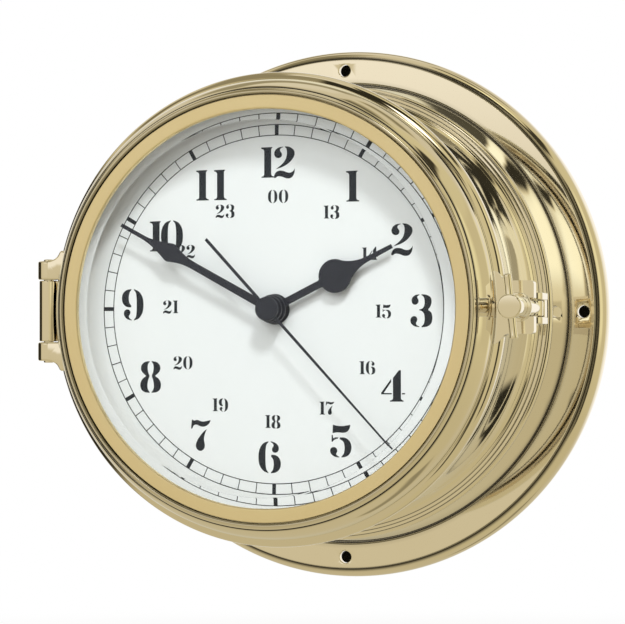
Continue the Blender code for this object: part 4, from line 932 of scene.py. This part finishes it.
def drawn_steel():
    """Nickelled steel: streaks along X from drawing."""
    make = Finish("drawn_steel")
    stretch = make.node("ShaderNodeVectorMath", {"operation": "MULTIPLY"},
                        {0: make.place(), 1: (60.0, 2600.0, 2600.0)})[0]
    streaks = make.noise(1.0, 3.0, stretch)
    colour = make.mix(streaks, (0.50, 0.50, 0.48), (0.66, 0.65, 0.62))
    return make.surface(Base_Color=colour, Metallic=1.0, Roughness=spread(streaks, 0.24, 0.40))


def copper_wire():
    """Enamelled copper wire, its red deeper from one turn to the next."""
    make = Finish("copper_wire")
    turns = make.noise(1200.0, 2.0)
    colour = make.mix(turns, (0.50, 0.17, 0.06), (0.66, 0.27, 0.12))
    return make.surface(Base_Color=colour, Metallic=1.0, Roughness=spread(turns, 0.28, 0.42))


def board_green():
    """Solder mask over a grid of tracks: a ramp on two sets of bands picks the copper lines out."""
    make = Finish("board_green")
    x, _, z = make.parted(make.place(520.0))
    wave = (z + x.math("FLOOR") * 0.7).math("SINE")
    edges = [(0.55, (0, 0, 0)), (0.75, (1, 1, 1))]
    lines = make.node("ShaderNodeValToRGB", {"stops": edges}, {"Fac": wave})[0]
    colour = make.mix(lines, (0.015, 0.10, 0.04), (0.06, 0.24, 0.10))
    return make.surface(Base_Color=colour, Roughness=0.35, Normal=make.bump(lines, 0.00003, 0.5))


def battery_jacket():
    """A dark sleeve, a copper-coloured band and bare metal ends, split by the distance along X."""
    make = Finish("battery_jacket")
    share = (make.parted(make.place(1000.0))[0] + 25.3) / 50.6

    def banded(*colours):
        """A colour each for the flat end, the sleeve, the band and the nub, with hard edges."""
        settings = {"stops": list(zip((0.0, 0.02, 0.72, 0.975), colours)), "between_stops": "CONSTANT"}
        return make.node("ShaderNodeValToRGB", settings, {"Fac": share})[0]

    colour = banded((0.6, 0.6, 0.58), (0.035, 0.037, 0.045), (0.62, 0.33, 0.13), (0.62, 0.62, 0.6))
    metal = banded((1, 1, 1), (0, 0, 0), (0.7, 0.7, 0.7), (1, 1, 1))
    scuffs = make.noise(260.0, 4.0)
    return make.surface(Base_Color=colour, Metallic=metal, Roughness=spread(scuffs, 0.25, 0.42))


def clear_glass():
    """Real refraction, with shadow rays let through so that the dial behind is lit."""
    make = Finish("clear_glass")
    smudge = make.noise(35.0, 3.0)
    pane = make.node("ShaderNodeBsdfPrincipled", {},
                     {"Base Color": (0.985, 0.995, 0.99), "Metallic": 0.0, "IOR": 1.5,
                      "Roughness": spread(smudge, 0.0, 0.015), "Specular Tint": (0.3, 0.3, 0.32),
                      "Transmission Weight": 1.0})[0]
    clear = make.node("ShaderNodeBsdfTransparent", {}, {"Color": (0.96, 0.98, 0.97)})[0]
    return make.made_of(make.either(make.node("ShaderNodeLightPath")["Is Shadow Ray"], pane, clear))


def plainly_seen(finish):
    """1 for a ray from the camera, straight or through glass alone, 0 for one that lights the clock."""
    path = finish.node("ShaderNodeLightPath")
    through_glass = path["Is Transmission Ray"] * path["Diffuse Depth"].math("LESS_THAN", 0.5)
    return path["Is Camera Ray"].math("MAXIMUM", through_glass)


def white_where(finish, factor, shader):
    """The finish's shader, mixed with plain white by a factor."""
    white = finish.node("ShaderNodeEmission", {}, {"Color": (1.0, 1.0, 1.0), "Strength": 1.0})[0]
    return finish.either(factor, shader, white)


BRASS = polished_brass()
SATIN = satin_brass()
WHITE = dial_white()
INK = printed_ink()
ENAMEL = black_enamel()
RUBBER = rubber()
SHELL = moulded_plastic("movement_plastic", (0.018, 0.018, 0.02), (0.035, 0.035, 0.038), 0.5)
NYLON = moulded_plastic("wheel_plastic", (0.70, 0.70, 0.66), (0.80, 0.80, 0.76), 0.45, 1500.0)
STEEL = drawn_steel()
COPPER = copper_wire()
BOARD = board_green()
JACKET = battery_jacket()
GLASS = clear_glass()


# The pieces

def brass_piece(name, parts, body, *nodes, **shading):
    """A piece in the polished brass of most of the clock."""
    make_piece(name, parts, BRASS, body, "polished_brass", nodes, **shading)


# A crease is (radius, depth, width), from the wall outwards. The brass is painted dark round each one,
# as shade
CASE_CREASES = [(104.5, 12.1, 0.8), (93.4, 13.8, 0.9), (90.75, 30.1, 0.3), (89.7, 34.0, 0.25),
                (88.4, 35.15, 0.22), (87.1, 36.4, 0.22), (85.55, 87.6, 0.3)]
BEZEL_CREASES = [(80.2, 115.8, 1.25), (82.7, 115.05, 0.4), (86.45, 104.35, 0.45)]

brass_piece("case_shell", pierced_case() + hinge_arm(), "case_body", "case", creases=CASE_CREASES)
brass_piece("hinge_rod", [rod(1.9, -20.1, 20.1, 0.5, 48, HINGE, UPRIGHT)], "case_body", "hinge_pin")
ring_points, ring_faces = turned(bezel_section(), 360)
brass_piece("bezel_ring", [(clear_of_hinge(ring_points), ring_faces)] + hinge_lug(1) + hinge_lug(-1),
            "bezel_body", "bezel", creases=BEZEL_CREASES)
brass_piece("bezel_fork", fork(), "bezel_body", "bezel", bevel=0.35)
make_piece("satin_lip", [turned(lip_section(), 360)], SATIN, "bezel_body", "satin_brass", ["lip_ring"])
make_piece("porthole_glass", [turned(glass_section(), 360)], GLASS, "bezel_body", "clear_glass",
           ["bevelled_glass"], crease=15)
make_piece("glass_bed", [washer(78.2, 82.0, 110.0, 110.6, 240)], RUBBER, "bezel_body", "black_rubber",
           ["glass_gasket"])
clamp = rounded([(78.2, 107.4, 0.3), (82.0, 107.4, 0.2), (82.0, 109.7, 0.1), (78.2, 109.7, 0.3)])
brass_piece("glass_clamp_ring", [turned(clamp, 240)], "bezel_body", "glass_retainer")
make_piece("bezel_cushion", [washer(82.9, 85.9, 100.3, 101.7, 240, edge=0.5)], RUBBER, "case_body",
           "black_rubber", ["bezel_seal"])

plate = rounded([(4.4, 97.5, 0), (82.0, 97.5, 0.1), (82.0, DIAL_D, 0.15), (4.4, DIAL_D, 0.1)])
make_piece("dial_plate", [turned(plate, 240)], WHITE, "case_body", "dial_white", ["dial"])
make_piece("dial_print", dial_printing(), INK, "case_body", "hand_black")
for label, degrees in (("top", 90), ("right", 0), ("bottom", 270)):
    turn = math.radians(degrees)
    spot = np.array([79.4 * math.cos(turn), 0, 79.4 * math.sin(turn)])
    screw = slotted_screw(spot, FACING, 1.7, 0.8, 98.8, 99.6, 95.4)
    brass_piece(f"dial_fixing_{label}", screw, "case_body", f"dial_screw_{label}")

brass_piece("latch_clevis", bracket_parts(), "case_body", "latch_bracket")
for label, depth in (("rear", 73.5), ("front", 82.5)):
    screw = slotted_screw(np.array([0, -depth, 0.0]), SIDEWAYS, 2.4, 1.2, 79.1, 77.7, 89.9)
    brass_piece(f"clevis_screw_{label}", screw, "case_body", f"bracket_screw_{label}")
brass_piece("clevis_pin", [rod(1.5, -6.7, 6.7, 0.4, 40, (BOLT_X, -LATCH_PIN_D, 0), UPRIGHT)],
            "case_body", "latch_pin")
brass_piece("eye_bolt", bolt_parts(), "bolt_body", "swing_bolt", crease=40)
brass_piece("bolt_washer", [washer(3.3, 5.4, 104.1, 105.5, 72, (BOLT_X, 0, 0), 0.4)], "washer_body",
            "latch_washer")
brass_piece("tommy_nut", [turned(nut_section(), 96, (BOLT_X, 0, 0))], "nut_body", "thumb_nut")
for label, side in (("upper", 1), ("lower", -1)):
    brass_piece(f"tommy_bar_{label}", [turned(bar_section(), 48, (BOLT_X, -115.4, 0), bar_frame(side))],
                "nut_body", f"thumb_bar_{label}")

make_piece("hour_pointer", hour_hand(), ENAMEL, "hour_body", "hand_black", ["hour_hand"])
make_piece("minute_pointer", minute_hand(), ENAMEL, "minute_body", "hand_black", ["minute_hand"])
make_piece("second_pointer", second_hand(), ENAMEL, "second_body", "hand_black", ["second_hand"])

make_piece("hub_ring", [washer(4.3, 5.8, 98.8, 99.3, 72, edge=0.1)], ENAMEL, "case_body", "hand_black",
           ["hub_washer"])
bore_r, round_r, flat_r = 4.3, 4.72, 4.677
nut = rounded([(bore_r, 99.6, 0), (round_r, 99.6, 0.1), (round_r, 101.2, 0.2), (bore_r, 101.2, 0)])
angle = np.arange(96) * math.tau / 96
flats = flat_r / np.cos((angle + math.pi / 6) % (math.pi / 3) - math.pi / 6) - round_r
six_sided = turned(nut, 96, CENTRE, FACING, np.where(nut[:, :1] > 4.5, flats[None], 0))
make_piece("hub_hexagon", [six_sided], ENAMEL, "case_body", "hand_black", ["hub_nut"], crease=25)

# Inside the movement: the plates that hold most of the arbors, and where the arbors stand
BACK_PLATE_D, FRONT_PLATE_D = 82.3, 91.0
step_at, third_at = np.array([-4.8209, 0, 5.7453]), np.array([8.0814, 0, 2.9414])
rotor_at, motion_at = np.array([-12.6009, 0, 7.1171]), np.array([-3.044, 0, -8.3633])

make_piece("seconds_wheel", [
    toothed(30, 6.0, 0.5, 86.6, 87.4), toothed(8, 0.98, 0.2, 85.3, 86.62),
    arbor(0.6, BACK_PLATE_D, 85.32), arbor(0.6, 87.38, 108.6),
], NYLON, "second_body", "wheel_plastic", ["second_wheel"])
brass_piece("minutes_wheel", [
    toothed(64, 7.38, 0.4, 89.4, 90.2, bore=0.9), toothed(12, 2.15, 0.4, 90.18, 92.2, bore=0.9),
    washer(0.9, 1.75, 92.18, 106.6, 40, edge=0.1),
], "minute_body", "centre_wheel")
brass_piece("hours_wheel", [
    toothed(40, 6.88, 0.5, 92.6, 93.4, bore=2.05), washer(2.05, 2.7, 93.38, 103.3, 40, edge=0.1),
], "hour_body", "hour_wheel")
make_piece("idler_wheel", [
    toothed(60, 7.32, 0.4, 84.8, 85.6, third_at), toothed(8, 0.92, 0.2, 85.58, 90.2, third_at),
    arbor(0.5, BACK_PLATE_D, 84.82, third_at), arbor(0.5, 90.18, FRONT_PLATE_D, third_at),
], NYLON, "third_body", "wheel_plastic", ["third_wheel"])
make_piece("drive_wheel", [
    toothed(36, 6.51, 0.45, 83.0, 83.8, step_at), toothed(6, 1.2, 0.3, 83.78, 87.4, step_at),
    arbor(0.5, BACK_PLATE_D, 83.02, step_at),
], NYLON, "step_body", "wheel_plastic", ["step_wheel"])
make_piece("rotor_magnet", [
    toothed(6, 1.09, 0.3, 83.0, 83.8, rotor_at), rod(2.6, 84.8, 87.8, 0.25, 48, rotor_at),
    arbor(0.5, BACK_PLATE_D, 83.02, rotor_at), arbor(0.5, 83.78, 84.82, rotor_at),
], STEEL, "rotor_body", "steel", ["rotor"])
brass_piece("setting_wheel", [
    toothed(36, 6.45, 0.45, 91.4, 92.2, motion_at), toothed(10, 1.72, 0.35, 92.18, 93.4, motion_at),
    arbor(0.5, 78.3, 91.42, motion_at),
], "motion_body", "motion_wheel")
make_piece("setting_grip", knob_parts(motion_at), NYLON, "motion_body", "movement_plastic",
           ["setting_knob"])
winding, cheeks = coil_parts((-13.1, -86.3, 15.0))
make_piece("coil_winding", winding, COPPER, "case_body", "coil_wire", ["drive_coil"], crease=60)
make_piece("coil_cheeks", cheeks, NYLON, "case_body", "wheel_plastic", ["drive_coil"])
make_piece("dry_cell", [turned(battery_section(), 96, (0, -87.2, -27.0), SIDEWAYS)], JACKET, "case_body",
           "battery_jacket", ["battery"])

# The solids whose shape is right get a finish of their own
for name, finish in (("movement_shell", SHELL), ("movement_cover", SHELL), ("movement_cushion", RUBBER),
                     ("stator", STEEL), ("coil_core", STEEL), ("circuit_board", BOARD),
                     ("battery_contact_plus", STEEL), ("battery_contact_minus", STEEL)):
    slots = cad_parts[name].data.materials
    for number in range(len(slots)):
        slots[number] = finish


# Floor, light and camera

def stage_piece(name, points, faces, material):
    """A part of the stage, from points in metres. Brass and glass show the tent in its place."""
    mesh = bpy.data.meshes.new(name)
    mesh.from_pydata(points, [], faces)
    mesh.materials.append(material)
    placed = bpy.data.objects.new(name, mesh)
    placed.visible_glossy = False
    bpy.context.scene.collection.objects.link(placed)


def pale_floor():
    """A plain pale floor below the clock. The camera sees it part white, and all white from 0.9 m on."""
    make = Finish("pale_floor")
    body = make.node("ShaderNodeBsdfDiffuse", {}, {"Color": (0.6, 0.585, 0.56)})[0]
    x, y, _ = make.parted()
    fade = make.step((x * x + y * y) ** 0.5, 0.4, 0.9, 0.6, 1.0)
    make.made_of(white_where(make, plainly_seen(make) * fade, body))
    half, level = 3.0, -0.2
    corners = [(-half, -half, level), (half, -half, level), (half, half, level), (-half, half, level)]
    stage_piece("floor", corners, [(0, 1, 2, 3)], make.material)


def hole_shades():
    """Dark round cards, with no back, behind the mounting holes: they stand for the wall's shadow."""
    make = Finish("hole_shade")
    dark = make.node("ShaderNodeBsdfDiffuse", {}, {"Color": (0.01, 0.01, 0.01)})[0]
    clear = make.node("ShaderNodeBsdfTransparent")[0]
    make.made_of(make.either(make.node("ShaderNodeNewGeometry")["Backfacing"], dark, clear))
    angle = np.arange(32) * math.tau / 32
    card = 7.0 * np.stack([np.cos(angle), 0 * angle, np.sin(angle)], 1)
    for quarter in range(4):
        turn = quarter * math.pi / 2
        spot = np.array([HOLE_CIRCLE_R * math.cos(turn), -2.0, HOLE_CIRCLE_R * math.sin(turn)])
        stage_piece(f"hole_shade_{quarter}", (card + spot) * 0.001, [tuple(range(32))], make.material)


# The studio's panels and cards by direction from the clock, in degrees: low and high azimuth, low and
# high elevation, softness of the edges, brightness. Azimuth 0 is straight out from the dial, 90 to its
# right. TENT is what the clock mirrors by itself, and ECHO is what brass shows of it in other brass.
TENT = [
    (-180, -150, -15, 25, 8, 1.05), (150, 180, -15, 25, 8, 1.05),
    (105, 136, -12, 30, 3, 0.62), (136, 150, -12, 25, 3, 0.82), (74, 104, -8, 35, 4, 0.88),
    (47, 66, -30, 36, 2, 0.06), (20, 28, -38, -12, 2, 0.08),
    (-35, 2, 4, 19, 3, 0.98), (2, 22, 14, 28, 2, 0.04), (8, 31, 29, 35, 2, 0.02),
    (-176, -140, 48, 62, 2, 0.74), (-176, -140, 34, 48, 2, 0.34), (-140, -80, 56, 76, 4, 0.28),
    (-80, -8, 43, 70, 3, 0.3), (-38, -6, 62, 68, 2, 0.85), (-14, 10, 40, 58, 2, 0.03),
    (2, 64, 52, 70, 2, 0.03), (10, 25, 38, 50, 2, 3.0),
    (46, 60, 43, 54, 2, 0.04), (60, 122, 47, 57, 2, 0.05), (62, 92, 62, 75, 4, 1.3),
    (122, 174, 65, 75, 3, 0.12), (145, 174, 50, 57, 3, 0.25),
    (-88, -60, 35, 50, 4, 0.2), (-130, -68, -32, 28, 5, 0.03), (130, 174, -56, -46, 3, 0.3),
]
ECHO = [
    (20, 33, 8, 24, 3, 1.35), (12, 20, 23, 28, 1, 0.04), (24, 33, 25, 34, 1, 0.03),
    (34, 60, 27, 33, 1, 0.03), (33, 41, 5, 20, 1, 0.45),
    (20, 174, 32, 56, 2, 0.04), (20, 174, 60, 90, 4, 0.3),
    (29, 47, -39, -18, 2, 0.03), (-30, 7, 24, 40, 1, 0.1), (7, 12, 24, 32, 1, 1.4),
]


def studio_world():
    """A pale tent with lit panels and dark cards, and plain white behind the clock.

    Glossy Depth counts the mirrors that a ray has met. After one it sees TENT, warm where it is dim and
    cool where it is bright, but warm beside the clock. After two or more it sees ECHO, and each mirror
    adds blue, which keeps brass in brass from turning orange.
    """
    world = bpy.data.worlds.new("studio")
    world.use_nodes = True
    make = Finish("studio", world.node_tree)
    right, back, up = make.parted(make.node("ShaderNodeTexCoord")["Generated"])
    azimuth = right.math("ARCTAN2", back * -1.0) * math.degrees(1)
    elevation = up.math("ARCSINE") * math.degrees(1)

    def hung_with(level, panels):
        """The brightness of the tent once the panels hang in it, each over the ones before."""
        for west, east, low, high, soft, brightness in panels:
            inside = make.step(elevation, low - soft, low + soft)
            inside = inside * make.step(elevation, high + soft, high - soft)
            if west > -180:
                inside = inside * make.step(azimuth, west - soft, west + soft)
            if east < 180:
                inside = inside * make.step(azimuth, east + soft, east - soft)
            level = level + inside * (brightness - level)
        return level

    level = hung_with(make.step(elevation, -40.0, 5.0, 0.58, 0.68), TENT)
    echo = hung_with(make.step(elevation, -4.0, 8.0, 0.66, 1.0), ECHO)
    mirrors = make.node("ShaderNodeLightPath")["Glossy Depth"]
    two_or_more, three_or_more = mirrors.math("GREATER_THAN", 1.5), mirrors.math("GREATER_THAN", 2.5)
    beside = make.step(azimuth, 18.0, 30.0) * make.step(azimuth, 145.0, 135.0)
    bright = make.mix(beside, (1.0, 1.02, 1.08), (1.0, 0.99, 0.74))
    first = make.mix(make.step(level, 0.45, 1.0), (1.0, 0.93, 0.68), bright)
    second = make.mix(make.step(echo, 0.75, 1.25), (0.95, 1.02, 1.08), (0.92, 1.07, 1.32))
    tint = make.mix(three_or_more, make.mix(two_or_more, first, second), (0.87, 1.05, 1.6))
    strength = level + two_or_more * (echo - level)
    tent = make.node("ShaderNodeBackground", {}, {"Color": tint, "Strength": strength})[0]
    plain = make.node("ShaderNodeBackground", {}, {"Color": (1.0, 1.0, 1.0), "Strength": 1.0})[0]
    make.node("ShaderNodeOutputWorld", {}, {"Surface": make.either(plainly_seen(make), tent, plain)})
    bpy.context.scene.world = world


def soft_lamp(name, place, aim, size, power):
    """A square soft box that faces its aim. It lights matt surfaces only: metal shows the tent."""
    light = bpy.data.lights.new(name, "AREA")
    light.shape = "SQUARE"
    light.size = size
    light.energy = power
    lamp = bpy.data.objects.new(name, light)
    lamp.location = place
    lamp.rotation_euler = (Vector(aim) - Vector(place)).to_track_quat("-Z", "Y").to_euler()
    lamp.visible_glossy = False
    lamp.visible_transmission = False
    bpy.context.scene.collection.objects.link(lamp)


def camera_in_place():
    """The photograph's viewpoint, worked out from the rims of the flange, the bezel and the dial."""
    sensor_width, photo_width, focal_pixels = 36.0, 625, 2729
    back = Vector((0.3136, -0.9493, -0.0197)).normalized()
    right = Vector((0, 0, 1)).cross(back).normalized()
    up = back.cross(right)
    roll = math.radians(-0.0676)
    right, up = (right * math.cos(roll) + up * math.sin(roll),
                 up * math.cos(roll) - right * math.sin(roll))
    view = bpy.data.cameras.new("view")
    view.sensor_fit = "HORIZONTAL"
    view.sensor_width = sensor_width
    view.lens = focal_pixels * sensor_width / photo_width
    view.clip_start, view.clip_end = 0.05, 50.0
    camera = bpy.data.objects.new("view", view)
    turn = Matrix((right, up, back)).transposed().to_4x4()
    camera.matrix_world = Matrix.Translation((0.3372, -1.0763, -0.0214)) @ turn
    bpy.context.scene.collection.objects.link(camera)
    bpy.context.scene.camera = camera


pale_floor()
hole_shades()
studio_world()
soft_lamp("key", (0.52, -1.09, 1.13), (0, -0.1, 0), 0.26, 13.0)
soft_lamp("fill", (-0.05, -1.75, 0.77), (0, -0.1, 0), 1.15, 18.0)
camera_in_place()
bpy.context.scene.view_settings.view_transform = "Standard"
